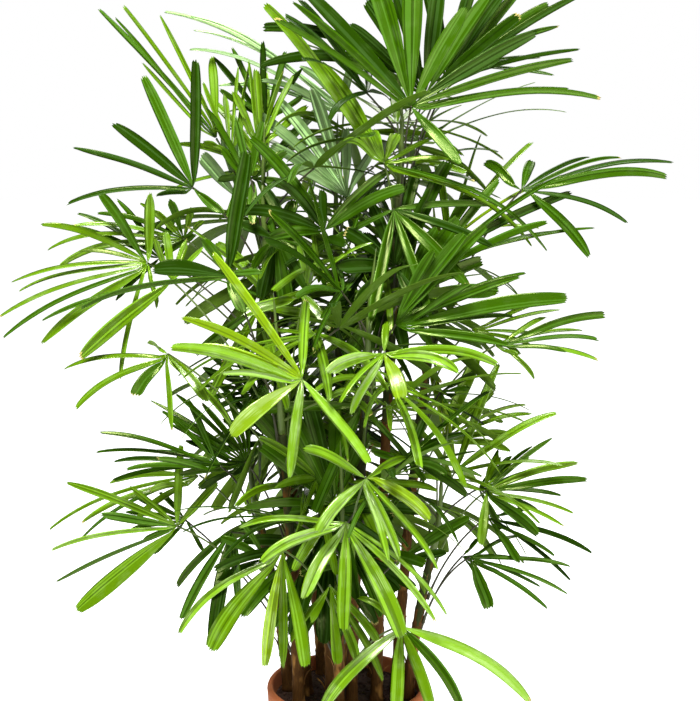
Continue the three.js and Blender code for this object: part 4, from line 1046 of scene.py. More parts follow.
def waxy_cuticle(name, colour, roughness, relief, wax):
    """A living palm leaf's waxy skin: the eye sees an even green with a broken gloss along its fine veins, and
    a pale sheen in streaks, which is painted into the colour.

    Real veins are about 0.6 mm apart. They are drawn 2 mm apart, so that the gloss breaks up. The painted
    sheen's clouds are 30 mm wide, and its streaks 1.8 mm wide and 60 mm long."""
    gleam, gleam_tint, painted_sheen_share = wax
    material, tree = blank(name)
    place = node(tree, "ShaderNodeUVMap", uv_map=PLACE_MAP).outputs["UV"]
    veins = node(tree, "ShaderNodeTexWave", {
        "Vector": place, "Scale": WAVE_PERIOD / (2 * MM), "Distortion": 0.0,
    }, bands_direction="X")
    bump = node(tree, "ShaderNodeBump", {
        "Height": veins.outputs["Fac"], "Strength": relief, "Distance": 0.3 * MM,
    })
    clouds = node(tree, "ShaderNodeTexNoise", {
        "Vector": node(tree, "ShaderNodeTexCoord").outputs["Object"], "Scale": 1 / (30 * MM), "Detail": 2,
    })
    gloss = node(tree, "ShaderNodeMapRange", {
        "Value": clouds.outputs["Fac"], "To Min": roughness - 0.06, "To Max": roughness + 0.08,
    })
    lengthways = node(tree, "ShaderNodeMapping", {
        "Vector": place, "Scale": (1 / (1.8 * MM), 1 / (60 * MM), 1),
    })
    streaks = node(tree, "ShaderNodeTexNoise", {
        "Vector": lengthways.outputs["Vector"], "Scale": 1, "Detail": 3,
    })
    streak = node(tree, "ShaderNodeMapRange", {
        "Value": streaks.outputs["Fac"], "From Min": 0.42, "From Max": 0.62, "To Max": painted_sheen_share,
    })
    painted_sheen = node(tree, "ShaderNodeMapRange", {
        "Value": clouds.outputs["Fac"], "From Min": 0.48, "From Max": 0.66,
        "To Max": streak.outputs["Result"],
    })
    # The pale painted sheen is mixed into the green where its clouds and streaks meet.
    skin = node(tree, "ShaderNodeMix", {
        "Factor": painted_sheen.outputs["Result"], "A": (*colour, 1), "B": (*linear(PAINTED_SHEEN), 1),
    }, data_type="RGBA")
    shader = node(tree, "ShaderNodeBsdfPrincipled", {
        "Base Color": skin.outputs["Result"], "Roughness": gloss.outputs["Result"],
        "Normal": bump.outputs["Normal"], "Specular IOR Level": gleam, "Specular Tint": (*gleam_tint, 1),
    })
    node(tree, "ShaderNodeOutputMaterial", {"Surface": shader.outputs["BSDF"]})
    return material


def stalk_rind(name, colour, roughness):
    """The smooth hard rind of a leaf stalk: the eye sees a thin green or brown line with a faint gloss.

    Real specks are about 1 mm wide. They are drawn 4 mm wide and 20 mm long, so that they show."""
    material, tree = blank(name)
    place = node(tree, "ShaderNodeTexCoord").outputs["Object"]
    lengthways = node(tree, "ShaderNodeMapping", {
        "Vector": place, "Scale": (1 / (4 * MM), 1 / (4 * MM), 1 / (20 * MM)),
    })
    specks = node(tree, "ShaderNodeTexNoise", {
        "Vector": lengthways.outputs["Vector"], "Scale": 1, "Detail": 2,
    })
    bump = node(tree, "ShaderNodeBump", {
        "Height": specks.outputs["Fac"], "Strength": 0.3, "Distance": 0.4 * MM,
    })
    shader = node(tree, "ShaderNodeBsdfPrincipled", {
        "Base Color": (*colour, 1), "Roughness": roughness, "Normal": bump.outputs["Normal"],
    })
    node(tree, "ShaderNodeOutputMaterial", {"Surface": shader.outputs["BSDF"]})
    return material


# ---------------------------------------------------------------- settings


class PotSettings(bpy.types.PropertyGroup):
    lip: length_property("Lip rounding", 4, "How far the pot's lip is rounded")
    turning: length_property("Turning marks", 0.25, "Height of the marks that throwing left round the pot")
    crumbs: IntProperty(name="Crumbs", description="Number of loose crumbs on the soil", default=900, min=0)
    crumb: length_property("Crumb size", 4.5, "Size of the larger crumbs")
    clay: colour_property("Clay", "#A85E30", "Colour of the clay")
    salts: colour_property("Salts", "#B4704A", "Colour of the pale salts on the clay")
    peat: colour_property("Peat", "#1B0F09", "Colour of the moist soil")
    fibre: colour_property("Soil fibre", "#4B2E1B", "Colour of the drier bits in the soil")


class CaneSettings(bpy.types.PropertyGroup):
    sheath: length_property("Sheath spacing", 40, "Distance from one old leaf sheath to the next")
    step: length_property("Sheath step", 1.6, "How far a sheath's upper edge stands out")
    strand: length_property("Strand relief", 0.5, "Height of the fibre strands")
    hairs: IntProperty(
        name="Loose fibres", description="Number of loose fibres on each cane", default=26, min=0
    )
    dark: colour_property("Dark fibre", "#201004", "Colour between the strands")
    light: colour_property("Brown fibre", "#6B4616", "Colour of the strands")
    straw: colour_property("Straw fibre", "#B0803F", "Colour of the weathered strands")
    green: colour_property("Green sheath", "#38491A", "Colour of the young sheaths near the crown")


class LeafSettings(bpy.types.PropertyGroup):
    thickness: length_property("Thickness", 0.6, "Thickness of a blade")
    pleat: length_property("Pleat spacing", 6, "Distance from one rib to the next")
    rib: length_property("Rib height", 1.1, "How far the ribs stand above the furrows")
    tooth: length_property("Tooth length", 4, "Length of the teeth at a blade's blunt tip")
    rows: IntProperty(name="Rows", description="Lengthwise steps of a blade", default=18, min=8, max=40)
    stalk: length_property("Stalk radius", 1.9, "Radius of a leaf stalk")
    slim: FloatProperty(
        name="Slimness", description="Width of the blades beside the solids' own", default=0.88
    )
    outer_slim: FloatProperty(
        name="Outer slimness", description="Share of width the outermost lack", default=0.25
    )
    dry_share: FloatProperty(name="Dry tips", description="Share of the blades with a dry tip", default=0.1)
    gloss: FloatProperty(
        name="Gloss roughness", description="Roughness of the waxy upper side", default=0.19, subtype="FACTOR"
    )
    # These greens are one leaf green with light and shade painted in: lime and bright are painted light, mid is
    # the leaves' own green, and deep and dark are painted shade.
    lime: colour_property("Lime green", "#6C8B08", "Youngest leaves at the front")
    bright: colour_property("Bright green", "#5F8608", "Leaves in full light")
    mid: colour_property("Mid green", "#527606", "Grown leaves")
    deep: colour_property("Deep green", "#2F5102", "Old leaves")
    dark: colour_property("Dark green", "#1E3902", "Leaves inside the crown")
    pale: colour_property("Pale green", "#6A8A50", "Leaves that show a dull, greyish side")
    under: colour_property("Underside", "#5E7E1E", "The matt underside of the leaves")
    dry: colour_property("Dry tip", "#A89A58", "The dry ends of the blades")
    stalk_green: colour_property("Green stalk", "#4F6420", "Leaf stalks")
    stalk_dark: colour_property("Dark stalk", "#34351A", "Old leaf stalks")


class StageSettings(bpy.types.PropertyGroup):
    floor: length_property("Floor radius", 14000, "Radius of the round floor")
    white: colour_property("Floor", "#F4F4F2", "Colour of the floor")
    ambient: FloatProperty(
        name="Ambient light", description="Strength of the even light", default=0.11, min=0
    )
    key: FloatProperty(name="Key light", description="Power of the main light in watts", default=265, min=0)
    fill: FloatProperty(name="Fill light", description="Power of the side light in watts", default=55, min=0)
    back: FloatProperty(
        name="Back light", description="Power of the light behind in watts", default=60, min=0
    )


# ---------------------------------------------------------------- pot and soil

POT_SIDES, PROFILE_STEP = 128, 4
MARK_SPACING = 7  # from one mark of the thrower's fingers to the next
SOIL_SIDES, SOIL_RINGS = 96, 26


def rounded(profile, corner, steps=3):
    """A profile with each inner corner rounded by a short arc."""
    points = [profile[0]]
    for before, at, after in zip(profile, profile[1:], profile[2:]):
        before, at, after = np.array(before, float), np.array(at, float), np.array(after, float)
        reach = min(corner, np.linalg.norm(at - before) / 2.2, np.linalg.norm(after - at) / 2.2)
        first = at + (before - at) / np.linalg.norm(before - at) * reach
        last = at + (after - at) / np.linalg.norm(after - at) * reach
        for t in np.linspace(0, 1, steps + 1):
            points.append(tuple((1 - t) ** 2 * first + 2 * t * (1 - t) * at + t * t * last))
    return points + [profile[-1]]


def finely(profile, step):
    """A profile with its long straight stretches cut into steps."""
    points = []
    for a, b in zip(profile, profile[1:]):
        count = max(1, round(math.dist(a, b) / step))
        points += [tuple(np.array(a) + (np.array(b) - np.array(a)) * k / count) for k in range(count)]
    return points + [profile[-1]]


def pot_outline():
    """The pot's shoulder and ledge heights, and the radius of its inner wall at a height."""
    shoulder = POT["height"] - POT["band"]
    ledge = shoulder - POT["ledge"]

    def body_inside(z):
        return lerp(POT["foot"], POT["neck"], z / shoulder) - POT["wall"]

    def band_inside(z):
        return lerp(body_inside(ledge), POT["rim"] - POT["wall"], (z - ledge) / (POT["height"] - ledge))

    return shoulder, ledge, body_inside, band_inside


class PALM_OT_pot(bpy.types.Operator):
    """Turn the clay pot, with a rounded lip, a thick rim band and the marks of throwing"""

    bl_idname = "palm.pot"
    bl_label = "Clay pot"

    def execute(self, context):
        settings = context.scene.palm_pot
        shoulder, ledge, body_inside, band_inside = pot_outline()
        # The solid's own corners, from the middle of the underside out, up and down the inside to the floor.
        profile = [
            (0, 0), (POT["foot"], 0), (POT["neck"], shoulder), (POT["rim"] - 3, shoulder + 2),
            (POT["rim"], POT["height"] - 6), (POT["rim"] - 4, POT["height"]),
            (band_inside(POT["height"]), POT["height"]), (body_inside(ledge), ledge),
            (body_inside(POT["floor"]), POT["floor"]), (0, POT["floor"]),
        ]
        profile = finely(rounded(profile, settings.lip / MM), PROFILE_STEP)
        inner = np.array(profile[1:-1])
        radius, height = (np.repeat(inner[:, part, None], POT_SIDES, 1) for part in (0, 1))
        turns = np.arange(POT_SIDES) * 2 * math.pi / POT_SIDES
        rows = np.sin(height * 2 * math.pi / MARK_SPACING) * 0.5 + ripple(3, height / 9, 0 * height)
        uneven = ripple(4, height / 30, 2 * np.sin(turns)[None, :])
        radius = radius - settings.turning / MM * (1 + 0.5 * rows + 0.4 * uneven)
        skin = Skin("clay_pot")
        slot = skin.slot_of(fired_terracotta(settings))
        rings = np.stack([radius * np.cos(turns), radius * np.sin(turns), height], 2)
        drum(skin, rings, slot, slot, [(0, 0, profile[0][1]), (0, 0, profile[-1][1])])
        skin.make("clay", "pot")
        return {"FINISHED"}


# A crumb: a ball of twenty faces, which is then pressed out of shape.
ICO, LUMP_RADIUS = (1 + 5**0.5) / 2, 1.9
LUMP_POINTS = np.array([(-1, ICO, 0), (1, ICO, 0), (-1, -ICO, 0), (1, -ICO, 0), (0, -1, ICO), (0, 1, ICO),
                        (0, -1, -ICO), (0, 1, -ICO), (ICO, 0, -1), (ICO, 0, 1), (-ICO, 0, -1), (-ICO, 0, 1)])
LUMP_FACES = np.array([(0, 11, 5), (0, 5, 1), (0, 1, 7), (0, 7, 10), (0, 10, 11), (1, 5, 9), (5, 11, 4),
                       (11, 10, 2), (10, 7, 6), (7, 1, 8), (3, 9, 4), (3, 4, 2), (3, 2, 6), (3, 6, 8),
                       (3, 8, 9), (4, 9, 5), (2, 4, 11), (6, 2, 10), (8, 6, 7), (9, 8, 1)])


class PALM_OT_soil(bpy.types.Operator):
    """Fill the pot with lumpy soil, and strew crumbs over it"""

    bl_idname = "palm.soil"
    bl_label = "Soil"

    def execute(self, context):
        settings = context.scene.palm_pot
        _, ledge, body_inside, band_inside = pot_outline()
        skin = Skin("soil_fill")
        slot = skin.slot_of(moist_peat(settings))
        edge = band_inside(SOIL_LEVEL) - GAP
        turns = np.arange(SOIL_SIDES) * 2 * math.pi / SOIL_SIDES
        share = np.linspace(0, 1, SOIL_RINGS + 1)[1:][::-1, None]
        x, y = edge * share * np.cos(turns), edge * share * np.sin(turns)
        lumps = 2.6 * ripple(21, x / 22, y / 22) + 1.5 * ripple(22, x / 7, y / 7, 9)
        z = SOIL_LEVEL - 1 + lumps * (share < 0.999)
        foot = POT["floor"] + GAP
        low = [(body_inside(POT["floor"]) - GAP, foot), (body_inside(ledge) - GAP, ledge)]
        walls = np.array([[[r * math.cos(a), r * math.sin(a), h] for a in turns] for r, h in low])
        rings = np.concatenate([walls, np.stack([x, y, z], 2)])
        drum(skin, rings, slot, slot, [(0, 0, foot), (0, 0, SOIL_LEVEL)])
        roll = dice(SEEDS["crumbs"])
        for _ in range(settings.crumbs):
            out, turn = (edge - 5) * math.sqrt(roll()), 2 * math.pi * roll()
            size = settings.crumb / MM * (0.25 + 0.75 * roll() ** 3)
            stretch = np.array([wobble(roll, 0.4), wobble(roll, 0.4), 0.7 * wobble(roll, 0.3)])
            lump = LUMP_POINTS * (stretch * size / LUMP_RADIUS)
            lump = lump * np.array([[wobble(roll, 0.2)] for _ in LUMP_POINTS])
            at = out * math.cos(turn), out * math.sin(turn), SOIL_LEVEL + size * 0.3
            skin.add_faces(skin.add_points(lump + at), LUMP_FACES, slot)
        skin.make("soil", "soil")
        return {"FINISHED"}


# ---------------------------------------------------------------- canes

CANE_SIDES, CANE_STEP = 24, 5
IN_SOIL = 3  # how deep the bark goes into the soil
STUB, FIBRE = (1.9, (1.4, 1, 0.9, 0.8, 0.6)), (0.45, (1, 0.9, 0.75, 0.5, 0.2))  # thickness, and its course


def cane_skin(skin, cane, settings, slots):
    """A cane with its old leaf sheaths: each widens to a ragged upper edge, over the foot of the next."""
    length = sum((cane.at((k + 1) / 40) - cane.at(k / 40)).length for k in range(40))
    shares = np.linspace(0, 1, round(length / CANE_STEP) + 1)
    path = [cane.at(share) for share in shares]
    rings = np.array(rings_of(path, [1] * len(path), CANE_SIDES, UP, cane.lean), float)
    centre = np.array(path, float)[:, None]
    turns = np.arange(1, CANE_SIDES + 1) * 2 * math.pi / CANE_SIDES
    along = shares[:, None] * length
    spacing = settings.sheath / MM
    count = np.floor(along / spacing)
    edge = 0.28 * np.sin(turns + count * 2.4) + 0.08 * np.sin(5 * turns + count)
    phase = (along / spacing + edge) % 1
    step = settings.step / MM * (phase**1.6 - 0.35)
    wander = 1.3 * ripple(cane.seed, along / 60, turns * 0)
    strands = sum(np.sin(n * turns + wander * n / 3 + n * cane.seed) for n in (5, 8, 11)) / 3
    knots = ripple(cane.seed + 5, along / 14, 3 * np.sin(turns))
    foot = (CANE["flare"] - 1) * np.exp(-along / 16)
    radius = np.array([cane.radius(share) for share in shares])[:, None] * (1 + foot)
    radius = radius + step + settings.strand / MM * (strands + 0.8 * knots)
    points = centre + (rings - centre) * radius[..., None]
    points[0, :, 2] -= IN_SOIL
    young = np.clip((shares[:, None] - 0.42) / 0.3, 0, 1)
    young = young + 0.22 * ripple(cane.seed + 9, along / 25, 2 * turns)
    choice = np.where(young > 0.5, slots["green"], slots["brown"])[:-1]
    drum(skin, points, choice.ravel(), slots["brown"])


def loose_fibres(skin, cane, settings, slots):
    """Fibres and stubs of old stalks that stand away from the sheaths' edges."""
    roll = dice(cane.seed + SEEDS["fibres"])
    for number in range(settings.hairs):
        share, turn = 0.04 + 0.86 * roll(), 360 * roll()
        out = heading_of(turn)
        foot = cane.at(share) + out * cane.radius(share)
        stub = number % 9 == 0  # a few are the stubs of old stalks
        reach = (26 + 30 * roll()) if stub else (8 + 22 * roll())
        lean = 0.3 + 0.7 * roll()
        tip = foot + out * reach * lean * 0.7 + UP * reach + out.cross(UP) * reach * 0.5 * (roll() - 0.5)
        bend = foot + UP * reach * 0.6
        path = [bent(foot, bend, tip, k / 4) for k in range(5)]
        thick, course = STUB if stub else FIBRE
        slot = slots["brown" if stub or roll() < 0.6 else "straw"]
        drum(skin, rings_of(path, [thick * share for share in course], 5), slot, slot)


class PALM_OT_canes(bpy.types.Operator):
    """Grow the fibrous canes, each with its sheaths, strands and loose fibres"""

    bl_idname = "palm.canes"
    bl_label = "Canes"

    def execute(self, context):
        settings = context.scene.palm_canes
        brown = palm_fibre("palm_fibre", settings.dark, settings.light, settings.straw)
        green = palm_fibre("young_sheath_fibre", settings.dark, settings.green, settings.light)
        straw = stalk_rind("straw_fibre", settings.straw, 0.7)
        for cane in canes().values():
            skin = Skin(f"cane_{cane.name}_bark")
            slots = {"brown": skin.slot_of(brown), "green": skin.slot_of(green), "straw": skin.slot_of(straw)}
            cane_skin(skin, cane, settings, slots)
            loose_fibres(skin, cane, settings, slots)
            skin.make("cane", f"cane_{cane.name}")
        return {"FINISHED"}


# ---------------------------------------------------------------- leaves

# The tints from light to dark: lime and bright are painted light, mid is the leaves' own green, and deep and
# dark are painted shade. Some blades are one lighter or darker than their leaf.
SHADES = ("lime", "bright", "mid", "deep", "dark")
# The strips are dealt out at random: the darker one is painted shade and the rib one a painted highlight.
STREAKS = ("furrow", "upper", "upper", "rib")  # what is dealt out to the strips between a blade's ribs
WIDEST, MOST_ROLL = 40, 1.3  # of a placed blade, in millimetres and in radians
TIP_SHARES = (0.935, 0.965, 0.985, 1)  # the rows of points are closer near a blade's tip

# A blade's shape: its fold near the hub and further out, as shares of its half width, how many degrees it
# rolls by lot and towards the fan's edge, and twists on its way, how many millimetres it sways aside and up,
# how far its end slopes, and the share of its length where the teeth begin.
FORM = dict(fold=(0.6, 0.1), by_lot=22, at_edge=30, twist=30, sway=4, heave=3.5, slope=7, teeth=0.86)
STALK_SIDES, STALK_STEPS, KNOB = 7, 14, 3.4


@functools.cache
def leaf_materials():
    """The materials of each tint's upper side, a lighter copy with a painted highlight, a darker copy with
    painted shade, and its underside, of dry tips and of stalks.
    """
    settings = bpy.context.scene.palm_leaves
    made = {}
    for tint, wax in WAX.items():
        colour = np.array(getattr(settings, tint))
        # The rib copy is lighter, a painted highlight, and the copy at 0.6 is darker, painted shade; both go on
        # strips along the blade.
        light = colour * 2.2 + 0.04 if tint == "pale" else colour * 1.5 + 0.008
        for part, shade in (("", colour), ("_rib", light), ("_furrow", colour * 0.6)):
            made[tint + part] = waxy_cuticle(f"waxy_cuticle_{tint}{part}", shade, settings.gloss, 0.2, wax)
        under = 0.45 * np.array(settings.under) + 0.55 * colour
        made[tint + "_under"] = waxy_cuticle(f"matt_underside_{tint}", under, 0.55, 0.4, UNDERSIDE_WAX)
    made["dry"] = waxy_cuticle("dry_leaf_tip", settings.dry, 0.7, 0.6, DRY_WAX)
    made["stalk"] = stalk_rind("green_stalk_rind", settings.stalk_green, 0.45)
    made["old stalk"] = stalk_rind("dark_stalk_rind", settings.stalk_dark, 0.5)
    return made


def along_line(blade, shares):
    """Points, ways along and ways across at shares of a blade's length, on a curve through its line."""
    places, alongs, acrosses = (np.array([entry[part] for entry in blade.line], float) for part in range(3))
    steps = BLADE["steps"]
    first = np.minimum((shares * steps).astype(int), steps - 1)
    t = (shares * steps - first)[:, None]
    a, b = places[first], places[first + 1]
    out, into = (alongs[k] * blade.length / steps for k in (first, first + 1))
    at = (2 * t**3 - 3 * t**2 + 1) * a + (t**3 - 2 * t**2 + t) * out
    at = at + (3 * t**2 - 2 * t**3) * b + (t**3 - t**2) * into
    mixed = [part[first] * (1 - t) + part[first + 1] * t for part in (alongs, acrosses)]
    return at, *(way / np.linalg.norm(way, axis=1)[:, None] for way in mixed)


def seen_width(blade, luck):
    """The width and the roll in degrees with which a placed blade shows as wide as the sheet says, two thirds
    of the way along it: a blade that shows narrow is turned edge-on."""
    at, along, across = (np.array(part) for part in blade.line[BLADE["steps"] * 2 // 3])
    face = np.cross(along, across)
    view = np.array(SHEET["eye"]) - at
    view = view / np.linalg.norm(view)
    square, skew = view @ face, view @ across
    shown = blade.width * lerp(0.7, 1, min(max((blade.width - 11) / 8, 0), 1))
    width = max(shown, lerp(7, 14, luck))
    away = math.acos(min(shown / width, 1))
    facing = math.atan2(-skew, square)
    turns = [(facing + sign * away + math.pi) % (2 * math.pi) - math.pi for sign in (1, -1)]
    turn = min(turns, key=abs)
    return min(width, WIDEST), math.degrees(min(max(turn, -MOST_ROLL), MOST_ROLL))


def outline_of(blade, shares, width, room, roll):
    """Half the blade's width at shares of its length, and how blunt it ends: it fills its room in the fan
    near the hub, widens to a strap, and narrows to a blunt end, or is cut off more squarely. A narrow blade
    ends more finely."""
    broad = min(max((width - 12) / 14, 0), 1)
    blunt = lerp(0.35, 0.5, broad) + 0.3 * roll()
    peak, taper = 0.25 + 0.25 * roll(), lerp(0.68, 0.62, broad)
    if roll() < 0.3 * broad:
        blunt, taper = 0.7 + 0.2 * roll(), 0.8
    swell = 0.6 + 0.4 * np.sin(np.clip(shares / peak, 0, 1) * math.pi / 2)
    swell *= 1 - (1 - blunt) * np.clip((shares - taper) / (1 - taper), 0, 1) ** 2
    swell *= 1 + 0.035 * ripple(int(roll() * 999), shares * 3, 0)
    near = room / 2 * (blade.leaf.root + shares * blade.length)
    return (near**-4.0 + (width / 2 * swell) ** -4.0) ** -0.25, blunt


def blade_course(blade, shares, roll, turn, placed):
    """The blade's middle line, led back into the hub, turned about itself and swayed a little: the shares of
    its length, its points, and the ways along it, across it and out of its upper side."""
    leaf, out = blade.leaf, np.array([0.1, 0.55])[:, None]
    ways = leaf.hub, leaf.way_at(blade.turn), leaf.way_at(blade.turn + math.pi / 2)
    hub, way, aside = (np.array(part) for part in ways)
    at, along, across = along_line(blade, shares)
    at = np.concatenate([hub + way * leaf.root * out, at])
    along, across = (np.concatenate([part + 0 * out, rest]) for part, rest in ((way, along), (aside, across)))
    shares = np.concatenate([(out[:, 0] - 1) * leaf.root / blade.length, shares])
    free = np.clip(shares, 0, 1)
    twist = FORM["twist"] * (roll() - 0.5) * (0.3 if placed else 1)
    turn = np.radians(turn * np.clip(shares / (0.2 if placed else 0.4), 0, 1) + twist * free**1.4)
    face = np.cross(along, across)
    across = across * np.cos(turn)[:, None] + face * np.sin(turn)[:, None]
    face = np.cross(along, across)
    sway = FORM["sway"] * (roll() - 0.5) * np.sin(free * math.pi * (1 + roll())) * free
    heave = FORM["heave"] * (roll() - 0.5) * np.sin(free * 5 + 6 * roll()) * free
    return shares, at + across * sway[:, None] + face * heave[:, None], along, across, face


def blade_shell(skin, blade, seed, settings, slots, room, placed):
    """A pleated blade from the hub out: ribs along it, a fold that flattens, a slight roll and a toothed tip.
    The room is the angle that it has in the fan."""
    roll = dice(seed)
    edge = min(max(2 * blade.turn / math.radians(blade.leaf.spread), -1), 1)
    width = blade.width * settings.slim * (1 - settings.outer_slim * abs(edge) ** 1.5) * wobble(roll, 0.22)
    turn = FORM["by_lot"] * (2 * roll() - 1) + FORM["at_edge"] * edge * abs(edge)
    if placed:
        width, turn = seen_width(blade, roll())
    shares = np.concatenate([np.linspace(0, 0.9, settings.rows - 3), TIP_SHARES])
    shares, at, along, across, face = blade_course(blade, shares, roll, turn, placed)
    half, blunt = outline_of(blade, shares, width, room, roll)
    columns = 2 * max(2, round(width / (settings.pleat / MM))) + 1
    x, s, half = np.linspace(-1, 1, columns), shares[:, None], half[:, None]

    # The fold along the middle and the ribs give each point its height. The teeth move it on at the tip.
    fold = lerp(*FORM["fold"], np.clip(s / 0.5, 0, 1) ** 0.7) + 0.3 * (roll() - 0.4) * np.clip(s, 0, 1)
    ribs = settings.rib / MM * np.clip(half / 8, 0.25, 1) / 2 * np.where(np.arange(columns) % 2, 1, -1)
    ribs[:, [0, -1]] *= 0.3
    height = fold * half * np.abs(x) + ribs - fold * half * 0.4
    slope = FORM["slope"] * (roll() - 0.5)
    round_off = half[-1] * (1.2 if blunt < 0.5 else 0.6 if blunt < 0.75 else 0.2)
    uneven = [(0.5 if k % 2 else -0.5) + 0.6 * (roll() - 0.5) for k in range(columns)]
    teeth = slope * x - round_off * x**2 + settings.tooth / MM * np.array(uneven)
    reach = teeth * np.clip((s - FORM["teeth"]) / (1 - FORM["teeth"]), 0, 1)
    aside = half * x
    top = at[:, None] + across[:, None] * aside[..., None] + face[:, None] * height[..., None]
    top = top + along[:, None] * reach[..., None]
    places = np.stack([aside, s * blade.length + 0 * x], 2)

    # The strips' finishes, with painted shade on the darker strips and a painted highlight on the lighter ones,
    # and the dry end that a few blades have.
    upper = np.array([slots[STREAKS[int(4 * roll())]] for _ in range(columns - 1)]) + 0 * shares[1:, None]
    lower = np.full(upper.shape, slots["under"])
    if roll() < settings.dry_share:
        dry = np.array([1 - 0.022 * roll() ** 1.5 for _ in range(columns - 1)])
        ends = shares[1:, None] > dry
        upper, lower = np.where(ends, slots["dry"], upper), np.where(ends, slots["dry"], lower)
    sheet_shell(skin, top, face[:, None], settings.thickness / MM, upper.ravel(), lower.ravel(), places)


def stalk_shell(skin, grown, settings, slot, clasp):
    """A round stalk that clasps its cane at the foot and ends in the knob under the hub."""
    radius = settings.stalk / MM
    path = [grown.stalk.at(k / STALK_STEPS) for k in range(STALK_STEPS + 1)]
    radii = [radius * (1 + clasp * math.exp(-k / 1.1)) for k in range(STALK_STEPS)]
    knob = path[-1] + grown.leaf.face * KNOB
    path += [path[-1].lerp(knob, 0.5), knob]
    radii += [radius * 1.15, radius * 1.1, radius * 0.5]
    drum(skin, rings_of(path, radii, STALK_SIDES), slot, slot)


def fan(blades, stalks, grown, settings, clasp):
    """One whole leaf: its blades and its stalk."""
    made, roll = leaf_materials(), dice(grown.leaf.seed + SEEDS["tints"])
    placed = isinstance(grown.leaf, PlacedLeaf)
    turns = [blade.turn for blade in grown.blades]
    steps = [max(after - before, 0.1) for before, after in zip(turns, turns[1:])] or [0.5]
    for number, blade in enumerate(grown.blades):
        tint, luck = grown.tint, roll()
        if tint in SHADES and luck > (0.8 if tint == "deep" else 0.6):
            near = SHADES.index(tint) + (1 if luck > 0.8 else -1)
            tint = SHADES[min(max(near, 0), len(SHADES) - 1)]
        # Each strip takes its tint's green, its darker copy with painted shade, or its lighter copy with a
        # painted highlight.
        parts = dict(upper=tint, rib=f"{tint}_rib", furrow=f"{tint}_furrow", under=f"{tint}_under", dry="dry")
        slots = {part: blades.slot_of(made[finish]) for part, finish in parts.items()}
        room = min(steps[max(number - 1, 0)], steps[min(number, len(steps) - 1)], 0.6)
        blade_shell(blades, blade, 7919 * grown.leaf.seed + 31 * number, settings, slots, room, placed)
    # The darker rind goes with the painted-shade tints, deep and dark.
    rind = made["old stalk" if grown.tint in ("dark", "deep") else "stalk"]
    stalk_shell(stalks, grown, settings, stalks.slot_of(rind), clasp)


class PALM_OT_leaves(bpy.types.Operator):
    """Grow the placed leaves that give the plant its outline, each on its own stalk"""

    bl_idname = "palm.leaves"
    bl_label = "Outer leaves"

    def execute(self, context):
        settings = context.scene.palm_leaves
        for grown in placed_leaves():
            blades, stalks = Skin(f"{grown.node}_blades"), Skin(f"{grown.node}_stalk")
            fan(blades, stalks, grown, settings, clasp=1.2)
            blades.make("leaf", grown.node)
            stalks.make("leaf", grown.node)
        return {"FINISHED"}


SHEATH_LIP = 0.9  # how far each young sheath's edge stands out


def spear(skin, cane, slot):
    """The youngest leaf of a crown, still rolled up, over the sheathed shaft that it comes out of."""
    shares = [k / 12 for k in range(13)]
    path = [cane.shaft_at(share) for share in shares]
    radii = [lerp(SHAFT["foot"], SHAFT["tip"], share) for share in shares]
    radii[3::4] = [radius + SHEATH_LIP for radius in radii[3::4]]
    drum(skin, rings_of(path, radii, 12), slot, slot)
    foot, roll = path[-1], dice(cane.seed + SEEDS["spear"])
    way = (UP + heading_of(360 * roll()) * 0.12).normalized()
    path = [foot + way * (k * 15) for k in range(9)]
    radii = [2.8, 3.2, 3.4, 3.3, 3.0, 2.6, 2.0, 1.2, 0.3]
    drum(skin, rings_of(path, radii, 6), slot, slot)


class PALM_OT_crowns(bpy.types.Operator):
    """Grow the crowns of the canes, with the leaves that stand inside them"""

    bl_idname = "palm.crowns"
    bl_label = "Crowns"

    def execute(self, context):
        settings = context.scene.palm_leaves
        for cane in canes().values():
            node_name = f"crown_{cane.name}"
            blades, stalks = Skin(f"{node_name}_blades"), Skin(f"{node_name}_stalks")
            spear(stalks, cane, stalks.slot_of(leaf_materials()["stalk"]))
            for grown in crown_leaves() + inner_leaves():
                if grown.node == node_name:
                    fan(blades, stalks, grown, settings, clasp=0.9)
            blades.make("leaf", node_name)
            stalks.make("leaf", node_name)
        return {"FINISHED"}


# ---------------------------------------------------------------- stage

LENS = 76.5  # shows the width of the sheet
LIT = Vector((0, 0, 0.95))  # what the lights point at, in metres
FLOOR_SIDES = 96


